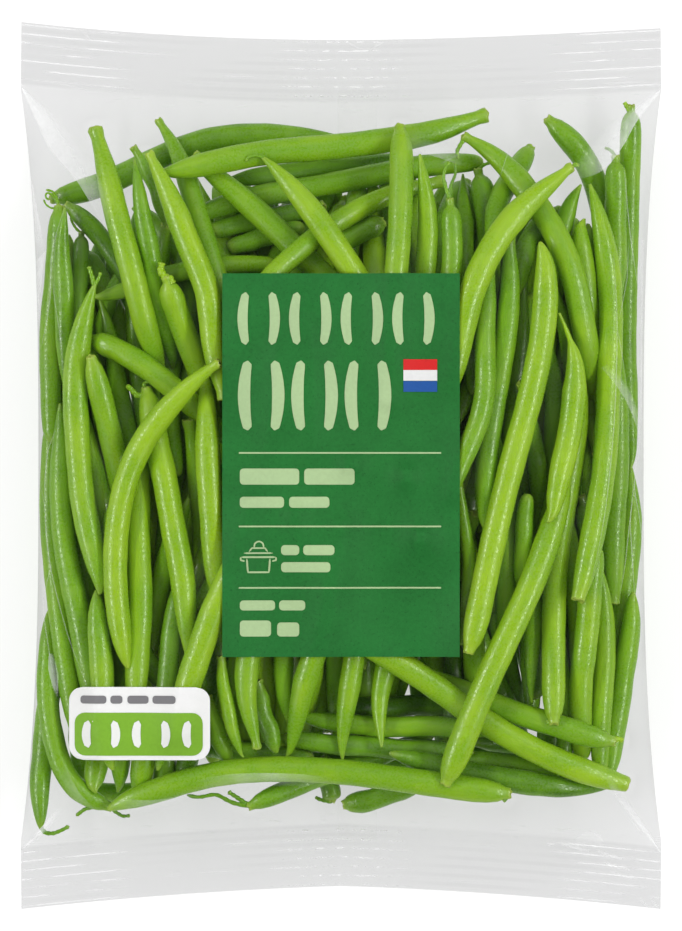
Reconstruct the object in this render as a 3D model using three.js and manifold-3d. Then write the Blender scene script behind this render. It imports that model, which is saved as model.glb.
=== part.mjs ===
// A clear film pillow bag packed with fine green beans, lying on its back.
// Millimetres, +Z up. X runs across the bag, Y along it towards the top seal, and the front
// panel faces up. The origin is the middle of the bag's footprint, on the surface it lies on.
//
// Pieces: one film tube crimped flat at both ends, with a back seam and vent holes; a green
// front label; a small white sticker; and the beans. The beans that show best through the
// front are a node each, and the rest are fused, a few touching beans to a node.
import * as THREE from "three";
import { mergeVertices } from "three/addons/utils/BufferGeometryUtils.js";
import Module from "manifold-3d";

const wasm = await Module();
wasm.setup();

// ---------------------------------------------------------------- driving dimensions
const MM_PER_PIXEL = 0.304; // the layout below is drawn on a 682 x 931 sheet at this scale
const SHEET_MIDDLE = [341.5, 466];

const BAG = {
  waistHalfWidth: 92, // half the width where the beans swell the tube
  sealHalfWidth: 97.3, // half the width of the flat crimped ends
  fillHalfLength: 114, // from the middle to where the two films meet
  sealHalfLength: 135, // to the corners of the crimped ends
  edgeDip: 5.5, // how far the middle of each cut end falls short of its corners
  middleHeight: 16, // height of the plane where the two films meet
  frontRise: 31,
  backDrop: 25, // the surface it lies on cuts this off flat at z = 0
  wall: 0.75, // film thickness in this solid; the real film is about 0.04
  sealHalfThickness: 0.6,
  crimpRows: 5,
  crimpHeight: 0.3,
  sealDroop: 6, // how far the cut ends hang below middleHeight
};
const SEAM = { x: 5, width: 12, groove: 0.9, depth: 0.3 };
const VENT = { radius: 3, x: 42, y: 48 };
const LABEL = { width: 71.7, length: 115.9, y: 0.1, gap: 0.35, thickness: 0.4 };
const STICKER = { x: -61.3, y: -78.3, width: 42.6, length: 22.2, corner: 4.3 };

const BEAN = {
  gap: 0.4, // clear space kept between two beans
  filmGap: 1.5, // clear space kept between a bean and the film
  bite: 1.6, // how far beans that share a node press into each other
  layer: 6.6, // drop for each level under the front film
  shoulder: 0.1, // share of the length over which the stem end swells
  taper: 0.74, // where the tail starts to taper
};
const FILL = { seed: 11, columns: 12, layers: 3, length: 95, spread: 12, radius: 3.55 };
const SETTLE = { looseSteps: 300, steps: 700, segments: 10, skin: 2 };

// ---------------------------------------------------------------- bean layout
// Each row is one bean as it lies behind the front film: stem end x, y, middle x, y,
// tail x, y on the drawn sheet, the bean's width there, and its level under the film.
const FRONT_BEANS = [
  [217, 362, 127, 492, 130, 668, 25, 0.0],
  [150, 154, 190, 252, 224, 395, 25, 0.0],
  [264, 157, 350, 245, 430, 400, 25, 0.0],
  [575, 164, 494, 248, 459, 375, 26, 0.0],
  [573, 604, 606, 370, 582, 184, 25, 0.0],
  [468, 652, 523, 430, 543, 243, 25, 0.0],
  [562, 490, 513, 630, 447, 788, 26, 0.0],
  [400, 127, 398, 240, 378, 400, 24, 0.0],
  [262, 500, 206, 626, 165, 745, 26, 0.2],
  [93, 286, 72, 430, 101, 592, 25, 0.3],
  [84, 337, 155, 375, 262, 460, 24, 0.4],
  [143, 390, 171, 520, 189, 662, 25, 0.5],
  [631, 788, 510, 735, 365, 640, 25, 0.5],
  [583, 350, 571, 500, 551, 722, 25, 0.6],
  [512, 798, 300, 768, 108, 804, 26, 0.6],
  [206, 366, 209, 480, 214, 602, 23, 0.6],
  [134, 450, 143, 570, 136, 720, 24, 0.6],
  [491, 262, 484, 375, 450, 520, 22, 0.7],
  [340, 500, 311, 650, 289, 760, 24, 0.8],
  [91, 353, 114, 450, 133, 580, 22, 0.8],
  [640, 560, 628, 690, 607, 778, 22, 0.8],
  [56, 400, 66, 560, 98, 715, 24, 0.9],
  [592, 540, 607, 650, 600, 765, 21, 0.9],
  [102, 540, 97, 650, 112, 770, 22, 0.9],
  [97, 132, 122, 242, 163, 372, 24, 1.0],
  [464, 137, 540, 202, 600, 360, 25, 1.0],
  [450, 178, 335, 217, 232, 335, 22, 1.0],
  [368, 480, 352, 660, 342, 762, 23, 1.0],
  [404, 500, 385, 670, 383, 747, 22, 1.0],
  [418, 163, 429, 230, 420, 400, 21, 1.0],
  [450, 200, 453, 260, 440, 420, 21, 1.0],
  [511, 235, 503, 380, 482, 530, 22, 1.0],
  [618, 156, 620, 260, 634, 400, 23, 1.0],
  [630, 330, 624, 470, 613, 603, 23, 1.0],
  [637, 104, 640, 240, 632, 400, 21, 1.1],
  [44, 420, 47, 580, 76, 745, 21, 1.0],
  [56, 205, 47, 300, 50, 430, 21, 1.0],
  [44, 600, 54, 745, 112, 808, 23, 1.0],
  [488, 114, 330, 149, 170, 172, 25, 1.1],
  [556, 440, 538, 600, 531, 702, 21, 1.1],
  [163, 272, 186, 335, 228, 470, 23, 1.2],
  [66, 210, 67, 290, 74, 420, 19, 1.2],
  [266, 520, 248, 650, 258, 748, 23, 1.2],
  [596, 500, 589, 630, 586, 752, 23, 1.2],
  [614, 741, 515, 714, 420, 668, 23, 1.3],
  [135, 162, 148, 230, 180, 380, 21, 1.3],
  [522, 380, 543, 475, 550, 600, 20, 1.4],
  [546, 330, 557, 410, 555, 540, 21, 1.4],
  [490, 420, 508, 540, 501, 645, 20, 1.5],
  [37, 620, 35, 740, 38, 834, 22, 1.5],
  [547, 118, 592, 182, 622, 330, 25, 1.6],
  [160, 119, 184, 172, 238, 370, 22, 1.6],
  [190, 156, 290, 240, 395, 380, 24, 1.7],
  [184, 560, 171, 650, 158, 770, 20, 1.6],
  [380, 745, 520, 784, 615, 776, 24, 1.6],
  [345, 150, 200, 142, 58, 197, 24, 1.7],
  [276, 520, 279, 640, 291, 722, 20, 1.7],
  [66, 203, 120, 236, 240, 330, 20, 1.8],
  [276, 264, 200, 267, 95, 300, 19, 1.8],
  [554, 280, 570, 370, 572, 520, 19, 1.8],
  [520, 722, 410, 729, 300, 722, 21, 1.9],
  [483, 162, 340, 179, 195, 214, 22, 2.0],
  [100, 298, 117, 380, 150, 520, 19, 2.0],
  [522, 280, 521, 350, 505, 500, 20, 2.0],
  [245, 808, 310, 785, 440, 735, 21, 2.0],
  [478, 165, 490, 230, 470, 400, 22, 2.1],
];
const SINGLE_NODES = 45; // the first rows of FRONT_BEANS, which show best
const FUSED_NODES = 12;

// ---------------------------------------------------------------- the bag's form
// Across the bag the half thickness falls from 1 to 0 as a superellipse; along it too.
const ACROSS = { power: 2.5, root: 1.7 };
const ALONG = { power: 3.2, root: 0.62 };

function halfWidth(y) {
  const share = Math.min(1, Math.abs(y) / BAG.fillHalfLength);
  return BAG.waistHalfWidth + (BAG.sealHalfWidth - BAG.waistHalfWidth) * share ** 3;
}

function swellAlong(y) {
  const share = Math.min(1, Math.abs(y) / BAG.fillHalfLength);
  return (1 - share ** ALONG.power) ** ALONG.root;
}

function swellAcross(u) {
  return Math.max(0, 1 - Math.abs(u) ** ACROSS.power) ** (1 / ACROSS.root);
}

// Height of the front film's outer face at a place on the bag.
function frontHeight(x, y) {
  const swell = swellAlong(y) * swellAcross(x / halfWidth(y));
  return BAG.middleHeight + BAG.sealHalfThickness + BAG.frontRise * swell;
}

// ---------------------------------------------------------------- settling the beans
// A bean's centreline is a cubic in t from -1 at the stem to 1 at the tail, held as four
// Legendre coefficients, so contacts can only slide, turn or gently bend it.
const legendre = (t) => [1, t, (3 * t * t - 1) / 2, (5 * t ** 3 - 3 * t) / 2];
const YIELD = [1, 1, 0.12, 0.03]; // how readily each coefficient gives to a push

// A seeded random source (mulberry32), so that the packing is the same on every run.
function randomSource(seed) {
  let state = seed >>> 0;
  return () => {
    state = (state + 0x6d2b79f5) >>> 0;
    let z = state;
    z = Math.imul(z ^ (z >>> 15), z | 1);
    z ^= z + Math.imul(z ^ (z >>> 7), z | 61);
    return ((z ^ (z >>> 14)) >>> 0) / 4294967296;
  };
}

// The radius at a share of the length from stem to tail, as a share of the widest radius.
function girth(share) {
  const rise = Math.min(1, share / BEAN.shoulder);
  const fall = Math.max(0, (share - BEAN.taper) / (1 - BEAN.taper));
  return (0.34 + 0.66 * Math.sin((rise * Math.PI) / 2)) * (1 - 0.84 * fall ** 1.7);
}

// The Legendre coefficients of the parabola through three points.
function throughPoints(stem, middle, tail) {
  const bow = middle.map((m, k) => (stem[k] + tail[k]) / 2 - m);
  return [
    middle.map((m, k) => m + bow[k] / 3),
    middle.map((m, k) => (tail[k] - stem[k]) / 2),
    bow.map((b) => (2 * b) / 3),
    [0, 0, 0],
  ];
}

function frontBean([sx, sy, mx, my, tx, ty, width, level]) {
  const radius = (width * MM_PER_PIXEL) / 2;
  const ends = [[sx, sy], [mx, my], [tx, ty]].map(([px, py]) => {
    const x = (px - SHEET_MIDDLE[0]) * MM_PER_PIXEL;
    const y = (SHEET_MIDDLE[1] - py) * MM_PER_PIXEL;
    return [x, y];
  });
  const middle = ends[1];
  const top = frontHeight(middle[0], middle[1]) - BAG.wall - BEAN.filmGap - radius;
  const points = ends.map(([x, y]) => {
    const lip = frontHeight(x, y) - BAG.wall - BEAN.filmGap - radius;
    const z = Math.min(top, lip + 4) - level * BEAN.layer;
    return [x, y, Math.max(z, radius + BAG.wall + BEAN.filmGap)];
  });
  return { curve: throughPoints(...points), radius, level, ease: 0.35 };
}

// The beans behind the front ones, in rows across the bag and in layers up from the back.
function fillBeans() {
  const random = randomSource(FILL.seed);
  const made = [];
  for (let layer = 0; layer < FILL.layers; layer++) {
    for (let column = 0; column < FILL.columns; column++) {
      for (const end of [-1, 1]) {
        const length = FILL.length * (0.86 + 0.28 * random());
        const across = (column + 0.5 + 0.5 * (random() - 0.5)) / FILL.columns;
        const x = (2 * across - 1) * (BAG.waistHalfWidth - 8);
        const y = end * (BAG.fillHalfLength - 6 - length / 2) * (0.9 + 0.1 * random());
        const spread = (random() + random() + random() - 1.5) * FILL.spread * 1.6;
        const angle = ((spread + (random() < 0.5 ? 0 : 180)) * Math.PI) / 180;
        const z = 5.2 + layer * 7.6 + 2 * random();
        const bow = (random() - 0.5) * 16;
        const radius = FILL.radius * (0.9 + 0.2 * random());
        const [dx, dy] = [Math.sin(angle), Math.cos(angle)];
        const half = length / 2;
        made.push({
          curve: throughPoints(
            [x - dx * half, y - dy * half, z],
            [x + dy * bow, y - dx * bow, z],
            [x + dx * half, y + dy * half, z],
          ),
          radius,
          level: FILL.layers - layer + 1,
          ease: 1,
        });
      }
    }
  }
  return made;
}

// How far, and which way, a point of the given reach has to move to be back inside the bag.
function filmPush([x, y, z], reach) {
  const width = halfWidth(y);
  const rise = z > BAG.middleHeight ? BAG.frontRise : BAG.backDrop;
  const share = Math.min(0.995, Math.abs(y) / BAG.fillHalfLength);
  const along = (1 - share ** ALONG.power) ** ALONG.root;
  const narrowing = (ALONG.root * ALONG.power * share ** (ALONG.power - 1)) / (1 - share ** ALONG.power);
  const u = Math.abs(x) / width;
  const h = Math.abs(z - BAG.middleHeight) / (rise * along);
  const out = [
    (Math.sign(x) * ACROSS.power * u ** (ACROSS.power - 1)) / width,
    (Math.sign(y) * ACROSS.root * h ** ACROSS.root * narrowing) / BAG.fillHalfLength,
    (Math.sign(z - BAG.middleHeight) * ACROSS.root * h ** (ACROSS.root - 1)) / (rise * along),
  ];
  const steep = Math.hypot(...out) + 1e-9;
  const short = reach - (1 - u ** ACROSS.power - h ** ACROSS.root) / steep;
  const step = short > 0 ? -Math.min(short, 2) / steep : 0;
  const push = out.map((g) => g * step);
  push[0] -= Math.sign(x) * Math.max(0, Math.abs(x) + reach - width);
  push[1] -= Math.sign(y) * Math.max(0, Math.abs(y) + reach - BAG.fillHalfLength + 2);
  push[2] += Math.max(0, reach - z);
  return push;
}

function pointOn([level, slope, bow, twist], [b0, b1, b2, b3]) {
  return [
    b0 * level[0] + b1 * slope[0] + b2 * bow[0] + b3 * twist[0],
    b0 * level[1] + b1 * slope[1] + b2 * bow[1] + b3 * twist[1],
    b0 * level[2] + b1 * slope[2] + b2 * bow[2] + b3 * twist[2],
  ];
}

// The shares along two segments where they are closest, and the vector between them.
function closest(p1, q1, p2, q2) {
  const d1 = [q1[0] - p1[0], q1[1] - p1[1], q1[2] - p1[2]];
  const d2 = [q2[0] - p2[0], q2[1] - p2[1], q2[2] - p2[2]];
  const r = [p1[0] - p2[0], p1[1] - p2[1], p1[2] - p2[2]];
  const dot = (a, b) => a[0] * b[0] + a[1] * b[1] + a[2] * b[2];
  const clamp = (v) => Math.min(1, Math.max(0, v));
  const [a, e, b, c, f] = [dot(d1, d1), dot(d2, d2), dot(d1, d2), dot(d1, r), dot(d2, r)];
  const spread = a * e - b * b;
  let s = spread > 1e-4 * a * e ? clamp((b * f - c * e) / spread) : 0.5;
  const t = clamp((b * s + f) / e);
  s = clamp((b * t - c) / a);
  const between = [
    r[0] + s * d1[0] - t * d2[0],
    r[1] + s * d1[1] - t * d2[1],
    r[2] + s * d1[2] - t * d2[2],
  ];
  return [s, t, between];
}

function give(bean, basis) {
  let sum = 0;
  for (let j = 0; j < 4; j++) sum += YIELD[j] * basis[j] ** 2;
  return bean.ease * sum;
}

function shift(bean, basis, vector, amount) {
  for (let j = 0; j < 4; j++) {
    const share = amount * bean.ease * YIELD[j] * basis[j];
    for (let k = 0; k < 3; k++) bean.curve[j][k] += share * vector[k];
  }
}

// Moves the beans until they stay clear of each other and of the film. Beans that share a
// node may press together, and each is tied to the one before it in that node.
function settle(beans, steps, homing) {
  const { segments } = SETTLE;
  const stops = Array.from({ length: segments + 1 }, (_, k) => (2 * k) / segments - 1);
  const basis = stops.map(legendre);
  const size = (t, bean) => bean.radius * girth((t + 1) / 2);
  for (const bean of beans) bean.length = 2 * Math.hypot(...bean.home[1]);
  let pairs = [];
  for (let step = 0; step < steps; step++) {
    const hold = homing * (1 - step / steps);
    if (step % 8 === 0) pairs = nearPairs(beans, basis);
    for (const [i, m, j, n, tied] of pairs) {
      const [first, second] = [beans[i], beans[j]];
      const [s, t, between] = closest(
        pointOn(first.curve, basis[m]),
        pointOn(first.curve, basis[m + 1]),
        pointOn(second.curve, basis[n]),
        pointOn(second.curve, basis[n + 1]),
      );
      const ti = stops[m] + (s * 2) / segments;
      const tj = stops[n] + (t * 2) / segments;
      const away = Math.hypot(...between) + 1e-9;
      const space = first.node === second.node ? -BEAN.bite : BEAN.gap;
      const lack = size(ti, first) + size(tj, second) + space - away;
      if (lack <= 0 && !tied) continue;
      const [bi, bj] = [legendre(ti), legendre(tj)];
      const pushed = 0.9 * Math.max(-0.6, Math.min(lack, 1.5));
      const amount = pushed / (give(first, bi) + give(second, bj)) / away;
      shift(first, bi, between, amount);
      shift(second, bj, between, -amount);
    }
    for (const bean of beans) {
      for (let j = 0; j < 4; j++) {
        for (let k = 0; k < 3; k++) {
          const share = (bean.ease < 1 && k < 2 ? 0.04 : 0) + (j > 1 ? 0.02 : 0);
          bean.curve[j][k] += hold * share * (bean.home[j][k] - bean.curve[j][k]);
        }
      }
      const stretch = bean.length / (2 * Math.hypot(...bean.curve[1]));
      bean.curve[1] = bean.curve[1].map((c) => c * stretch);
      stops.forEach((t, k) => {
        const reach = size(t, bean) + BAG.wall + BEAN.filmGap;
        const push = filmPush(pointOn(bean.curve, basis[k]), reach);
        if (push[0] || push[1] || push[2]) shift(bean, basis[k], push, 1 / give(bean, basis[k]));
      });
    }
  }
  return beans;
}

// Segment pairs of different beans that could touch before the next look.
function nearPairs(beans, basis) {
  const { segments, skin } = SETTLE;
  const lines = beans.map((bean) => basis.map((b) => pointOn(bean.curve, b)));
  const found = [];
  for (let i = 0; i < beans.length; i++)
    for (let j = i + 1; j < beans.length; j++) {
      const touch = beans[i].radius + beans[j].radius + skin;
      const reach = touch + (beans[i].length + beans[j].length) / segments / 2;
      const tied = beans[j].tiedTo === beans[i] || beans[i].tiedTo === beans[j];
      let nearest = null;
      for (let m = 0; m < segments; m++)
        for (let n = 0; n < segments; n++) {
          const [p, q] = [lines[i][m], lines[j][n]];
          const [pe, qe] = [lines[i][m + 1], lines[j][n + 1]];
          const dx = (p[0] + pe[0] - q[0] - qe[0]) / 2;
          const dy = (p[1] + pe[1] - q[1] - qe[1]) / 2;
          const dz = (p[2] + pe[2] - q[2] - qe[2]) / 2;
          if (!tied && dx * dx + dy * dy + dz * dz > reach * reach) continue;
          const away = Math.hypot(...closest(p, pe, q, qe)[2]);
          if (tied && (!nearest || away < nearest.away)) nearest = { away, m, n };
          if (away < touch) found.push([i, m, j, n, false]);
        }
      if (nearest) found.push([i, nearest.m, j, nearest.n, true]);
    }
  return found;
}

// ---------------------------------------------------------------- which beans share a node
// The least distance between the centrelines of two beans.
function apart(first, second) {
  const { segments } = SETTLE;
  const stops = Array.from({ length: segments + 1 }, (_, k) => legendre((2 * k) / segments - 1));
  const [one, two] = [first, second].map((bean) => stops.map((b) => pointOn(bean.curve, b)));
  let least = Infinity;
  for (let m = 0; m < segments; m++)
    for (let n = 0; n < segments; n++) {
      const between = closest(one[m], one[m + 1], two[n], two[n + 1])[2];
      least = Math.min(least, Math.hypot(...between));
    }
  return least;
}

// Parts the inner beans into strips along the bag, one strip to a node at each end of the
// bag, and ties each bean to its nearest mate so that the strip holds together.
function shareNodes(inner) {
  const lower = inner.filter((bean) => bean.curve[0][1] < 0);
  const upper = inner.filter((bean) => bean.curve[0][1] >= 0);
  const strips = FUSED_NODES / 2;
  [lower, upper].forEach((half, end) => {
    half.sort((a, b) => a.curve[0][0] - b.curve[0][0]);
    for (let strip = 0; strip < strips; strip++) {
      const [from, to] = [strip, strip + 1].map((k) => Math.round((k * half.length) / strips));
      const waiting = half.slice(from, to);
      const joined = [waiting.shift()];
      joined[0].node = SINGLE_NODES + end * strips + strip;
      while (waiting.length) {
        let best = null;
        for (const bean of waiting)
          for (const host of joined) {
            const away = apart(bean, host) - bean.radius - host.radius;
            if (!best || away < best.away) best = { away, bean, host };
          }
        best.bean.node = best.host.node;
        best.bean.tiedTo = best.host;
        joined.push(best.bean);
        waiting.splice(waiting.indexOf(best.bean), 1);
      }
    }
  });
}

// ---------------------------------------------------------------- solids
// A closed sheet: a top and a bottom face over the same grid, joined round the edge.
function slab(uStops, vStops, top, bottom) {
  const [columns, rows] = [uStops.length, vStops.length];
  const positions = [];
  for (const face of [top, bottom])
    for (const v of vStops) for (const u of uStops) positions.push(...face(u, v));
  const at = (side, row, column) => side * rows * columns + row * columns + column;
  const index = [];
  const quad = (a, b, c, d) => index.push(a, b, c, a, c, d);
  for (let row = 0; row < rows - 1; row++)
    for (let column = 0; column < columns - 1; column++)
      for (const side of [0, 1]) {
        const [a, b] = [at(side, row, column), at(side, row, column + 1)];
        const [c, d] = [at(side, row + 1, column + 1), at(side, row + 1, column)];
        if (side) index.push(a, c, b, a, d, c);
        else quad(a, b, c, d);
      }
  for (let row = 0; row < rows - 1; row++) {
    quad(at(0, row + 1, 0), at(1, row + 1, 0), at(1, row, 0), at(0, row, 0));
    const last = columns - 1;
    quad(at(0, row, last), at(1, row, last), at(1, row + 1, last), at(0, row + 1, last));
  }
  for (let column = 0; column < columns - 1; column++) {
    quad(at(0, 0, column), at(1, 0, column), at(1, 0, column + 1), at(0, 0, column + 1));
    const last = rows - 1;
    quad(at(0, last, column + 1), at(1, last, column + 1), at(1, last, column), at(0, last, column));
  }
  return bodyFrom(positions, index);
}

function bodyFrom(positions, index) {
  const geometry = new THREE.BufferGeometry();
  geometry.setAttribute("position", new THREE.Float32BufferAttribute(positions, 3));
  geometry.setIndex(index);
  return geometry;
}

// A bean as rings round its centreline, from the stem's nub to the tail's tip.
function beanBody(bean, stations, sides) {
  const positions = [];
  const index = [];
  const up = new THREE.Vector3(0, 0, 1);
  stations.forEach(([share, width]) => {
    const t = 2 * share - 1;
    const centre = new THREE.Vector3(...pointOn(bean.curve, legendre(t)));
    const ahead = new THREE.Vector3(...pointOn(bean.curve, legendre(t + 0.02)));
    const along = ahead.sub(centre).normalize();
    const across = new THREE.Vector3().crossVectors(up, along).normalize();
    const over = new THREE.Vector3().crossVectors(along, across);
    for (let side = 0; side < sides; side++) {
      const angle = (2 * Math.PI * side) / sides;
      const reach = bean.radius * width;
      const point = centre.clone().addScaledVector(across, reach * Math.cos(angle));
      positions.push(...point.addScaledVector(over, reach * Math.sin(angle)).toArray());
    }
  });
  for (let ring = 0; ring < stations.length - 1; ring++)
    for (let side = 0; side < sides; side++) {
      const [a, b] = [ring * sides + side, ring * sides + ((side + 1) % sides)];
      index.push(a, b, b + sides, a, b + sides, a + sides);
    }
  const last = (stations.length - 1) * sides;
  for (let side = 1; side < sides - 1; side++) {
    index.push(0, side + 1, side);
    index.push(last, last + side, last + side + 1);
  }
  return bodyFrom(positions, index);
}

function toManifold(geometry) {
  const welded = mergeVertices(geometry, 1e-5);
  return new wasm.Manifold(
    new wasm.Mesh({
      numProp: 3,
      vertProperties: new Float32Array(welded.attributes.position.array),
      triVerts: new Uint32Array(welded.index.array),
    }),
  );
}

function fromManifold(solid) {
  const mesh = solid.getMesh();
  return bodyFrom([...mesh.vertProperties], [...mesh.triVerts]);
}

const evenly = (count, from, to) =>
  Array.from({ length: count + 1 }, (_, k) => from + ((to - from) * k) / count);
const bunched = (count) => evenly(count, -1, 1).map((s) => Math.sin((s * Math.PI) / 2));

// The height of the plane where the films meet, which hangs lower towards the cut ends.
function meetingHeight(y) {
  const past = Math.max(0, Math.abs(y) - BAG.fillHalfLength);
  const share = past / (BAG.sealHalfLength - BAG.fillHalfLength);
  return BAG.middleHeight - BAG.sealDroop * share ** 1.4;
}

// A place on the film: u runs across, v along, and past v = 1 and -1 lie the crimped ends.
function filmPoint(u, v, front) {
  const past = Math.max(0, Math.abs(v) - 1);
  const cutEnd = BAG.sealHalfLength - BAG.edgeDip * (1 - u * u);
  const reach = BAG.fillHalfLength * Math.min(1, Math.abs(v)) + (cutEnd - BAG.fillHalfLength) * past;
  const y = Math.sign(v) * reach;
  const swell = swellAlong(y) * swellAcross(u);
  const ridge = past > 0 ? BAG.crimpHeight * Math.sin(past * BAG.crimpRows * 2 * Math.PI) : 0;
  const middle = meetingHeight(y) + ridge;
  const rise = BAG.sealHalfThickness + BAG.frontRise * swell;
  const drop = BAG.sealHalfThickness + BAG.backDrop * swell;
  return [u * halfWidth(y), y, front ? middle + rise : Math.max(0, middle - drop)];
}

function cavityPoint(u, v, front) {
  const [x, y, z] = filmPoint(u, v, front);
  const inset = 1 - 1.5 / halfWidth(y);
  const middle = BAG.middleHeight;
  if (front) return [x * inset, y * 0.987, Math.max(middle + 0.15, z - BAG.wall)];
  return [x * inset, y * 0.987, Math.min(middle - 0.15, z + BAG.wall)];
}

function filmBag() {
  const across = bunched(14);
  const quarters = BAG.crimpRows * 4;
  const crimp = evenly(quarters, 1, 2).filter((v, k) => k % 2 || k === 0 || k === quarters);
  const rows = [...crimp.map((v) => -v).reverse(), ...bunched(18).slice(1, -1), ...crimp];
  const along = [...new Set(rows)];
  const skin = slab(across, along, (u, v) => filmPoint(u, v, true), (u, v) => filmPoint(u, v, false));
  const ceiling = (u, v) => cavityPoint(u, v, true);
  const floor = (u, v) => cavityPoint(u, v, false);
  const hollow = slab(across, bunched(18), ceiling, floor);
  let bag = toManifold(skin).subtract(toManifold(hollow));
  for (const side of [-0.5, 0.5]) {
    const groove = new THREE.BoxGeometry(SEAM.groove, 2 * BAG.fillHalfLength - 44, 2 * SEAM.depth);
    bag = bag.subtract(toManifold(bare(groove.translate(SEAM.x + side * SEAM.width, 0, 0))));
  }
  for (const [x, y] of [[-1, -1], [1, -1], [-1, 1], [1, 1]]) {
    const hole = new THREE.CylinderGeometry(VENT.radius, VENT.radius, 2.4, 12).rotateX(Math.PI / 2);
    bag = bag.subtract(toManifold(bare(hole.translate(x * VENT.x, y * VENT.y, 0))));
  }
  return fromManifold(bag);
}

function bare(geometry) {
  geometry.deleteAttribute("normal");
  geometry.deleteAttribute("uv");
  return geometry;
}

// A thin patch that follows the front film: halfAcross gives its half width at each row.
function patch(x, y, length, halfAcross, columns, rowStops) {
  const place = (lift) => (u, v) => {
    const [px, py] = [x + u * halfAcross(v), y + (v * length) / 2];
    return [px, py, frontHeight(px, py) + LABEL.gap + lift];
  };
  return slab(evenly(columns, -1, 1), rowStops, place(LABEL.thickness), place(0));
}

function label() {
  return patch(0, LABEL.y, LABEL.length, () => LABEL.width / 2, 7, evenly(11, -1, 1));
}

function sticker() {
  const { x, y, width, length, corner } = STICKER;
  const half = (v) => {
    const into = Math.max(0, Math.abs(v) * (length / 2) - (length / 2 - corner));
    return width / 2 - corner + Math.sqrt(Math.max(0, corner ** 2 - into ** 2));
  };
  const turn = 1 - (2 * corner) / length;
  const arc = [0, 0.5, 0.85, 1].map((a) => turn + (1 - turn) * a);
  return patch(x, y, length, half, 6, [...arc.map((v) => -v).reverse(), 0, ...arc]);
}

// ---------------------------------------------------------------- the object
const FULL_STATIONS = [
  [0, 0.3], [0.022, 0.36], [0.036, 0.62], [0.1, 0.92], [0.3, 1], [0.6, 1],
  [0.82, 0.88], [0.94, 0.5], [1, 0.14],
];
const PLAIN_STATIONS = [[0, 0.4], [0.1, 0.9], [0.42, 1], [0.76, 0.93], [1, 0.24]];

const front = FRONT_BEANS.map(frontBean);
const fill = fillBeans();
const beans = [...front, ...fill];
beans.forEach((bean, k) => Object.assign(bean, { node: k, home: bean.curve.map((c) => [...c]) }));
settle(beans, SETTLE.looseSteps, 1);
shareNodes(beans.slice(SINGLE_NODES));
settle(beans, SETTLE.steps, 0.1);

const object = new THREE.Group();
object.name = "bag_of_green_beans";

function add(name, geometry, material) {
  const mesh = new THREE.Mesh(geometry, new THREE.MeshStandardMaterial({ name, ...material }));
  mesh.name = name;
  object.add(mesh);
}

add("film_bag", filmBag(), { color: 0xf2f4f2, roughness: 0.2, transparent: true, opacity: 0.3 });
add("front_label", label(), { color: 0x2a803c, roughness: 0.6 });
add("sticker", sticker(), { color: 0xf8f8f6, roughness: 0.45 });

const twoDigits = (number) => String(number).padStart(2, "0");
for (let node = 0; node < SINGLE_NODES; node++) {
  const geometry = beanBody(front[node], FULL_STATIONS, 6);
  add(`bean_${twoDigits(node + 1)}`, geometry, { color: 0x7ba525, roughness: 0.45 });
}
for (let node = SINGLE_NODES; node < SINGLE_NODES + FUSED_NODES; node++) {
  const sharing = beans.filter((bean) => bean.node === node);
  const bodies = sharing.map((bean) => toManifold(beanBody(bean, PLAIN_STATIONS, 5)));
  const shells = wasm.Manifold.union(bodies).decompose();
  const joined = shells.reduce((most, shell) => (shell.volume() > most.volume() ? shell : most));
  const name = `beans_inner_${twoDigits(node - SINGLE_NODES + 1)}`;
  add(name, fromManifold(joined), { color: 0x5f8c22, roughness: 0.5 });
}

export default object;
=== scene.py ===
"""A clear film bag of fine green beans, dressed for Blender on its CAD frame.

The bag lies on its back with its labelled front up. The beans are packed by a small
contact solver from where they lie behind the film, the film is a membrane stretched over
them, and the label and the sticker follow the film. Lengths are worked out in millimetres,
in the CAD's own axes, and become metres when a mesh is made.
"""

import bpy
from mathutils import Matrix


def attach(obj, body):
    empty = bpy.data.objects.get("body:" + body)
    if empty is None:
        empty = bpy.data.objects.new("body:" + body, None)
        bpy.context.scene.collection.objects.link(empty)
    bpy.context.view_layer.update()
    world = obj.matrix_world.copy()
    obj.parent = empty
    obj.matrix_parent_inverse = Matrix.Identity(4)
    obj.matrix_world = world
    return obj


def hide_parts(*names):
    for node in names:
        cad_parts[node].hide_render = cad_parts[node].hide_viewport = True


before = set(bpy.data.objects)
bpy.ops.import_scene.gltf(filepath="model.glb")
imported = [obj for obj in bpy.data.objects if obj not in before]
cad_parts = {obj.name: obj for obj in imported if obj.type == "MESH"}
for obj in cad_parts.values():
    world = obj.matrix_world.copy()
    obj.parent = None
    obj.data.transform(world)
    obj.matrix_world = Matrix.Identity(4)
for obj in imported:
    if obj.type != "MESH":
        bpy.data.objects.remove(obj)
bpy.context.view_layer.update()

import functools
import logging
import math
from dataclasses import dataclass, field
from enum import Enum

import bpy
import numpy as np
from mathutils import Vector

log = logging.getLogger("bean_bag")
Triple = tuple[float, float, float]
Array, Material = np.ndarray, bpy.types.Material
Socket, NodeTree = bpy.types.NodeSocket, bpy.types.NodeTree
MM = 0.001
SHEET_SCALE = 0.304  # millimetres for each pixel of the 682 x 931 view
SHEET_MIDDLE = (341.5, 466.0)


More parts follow.
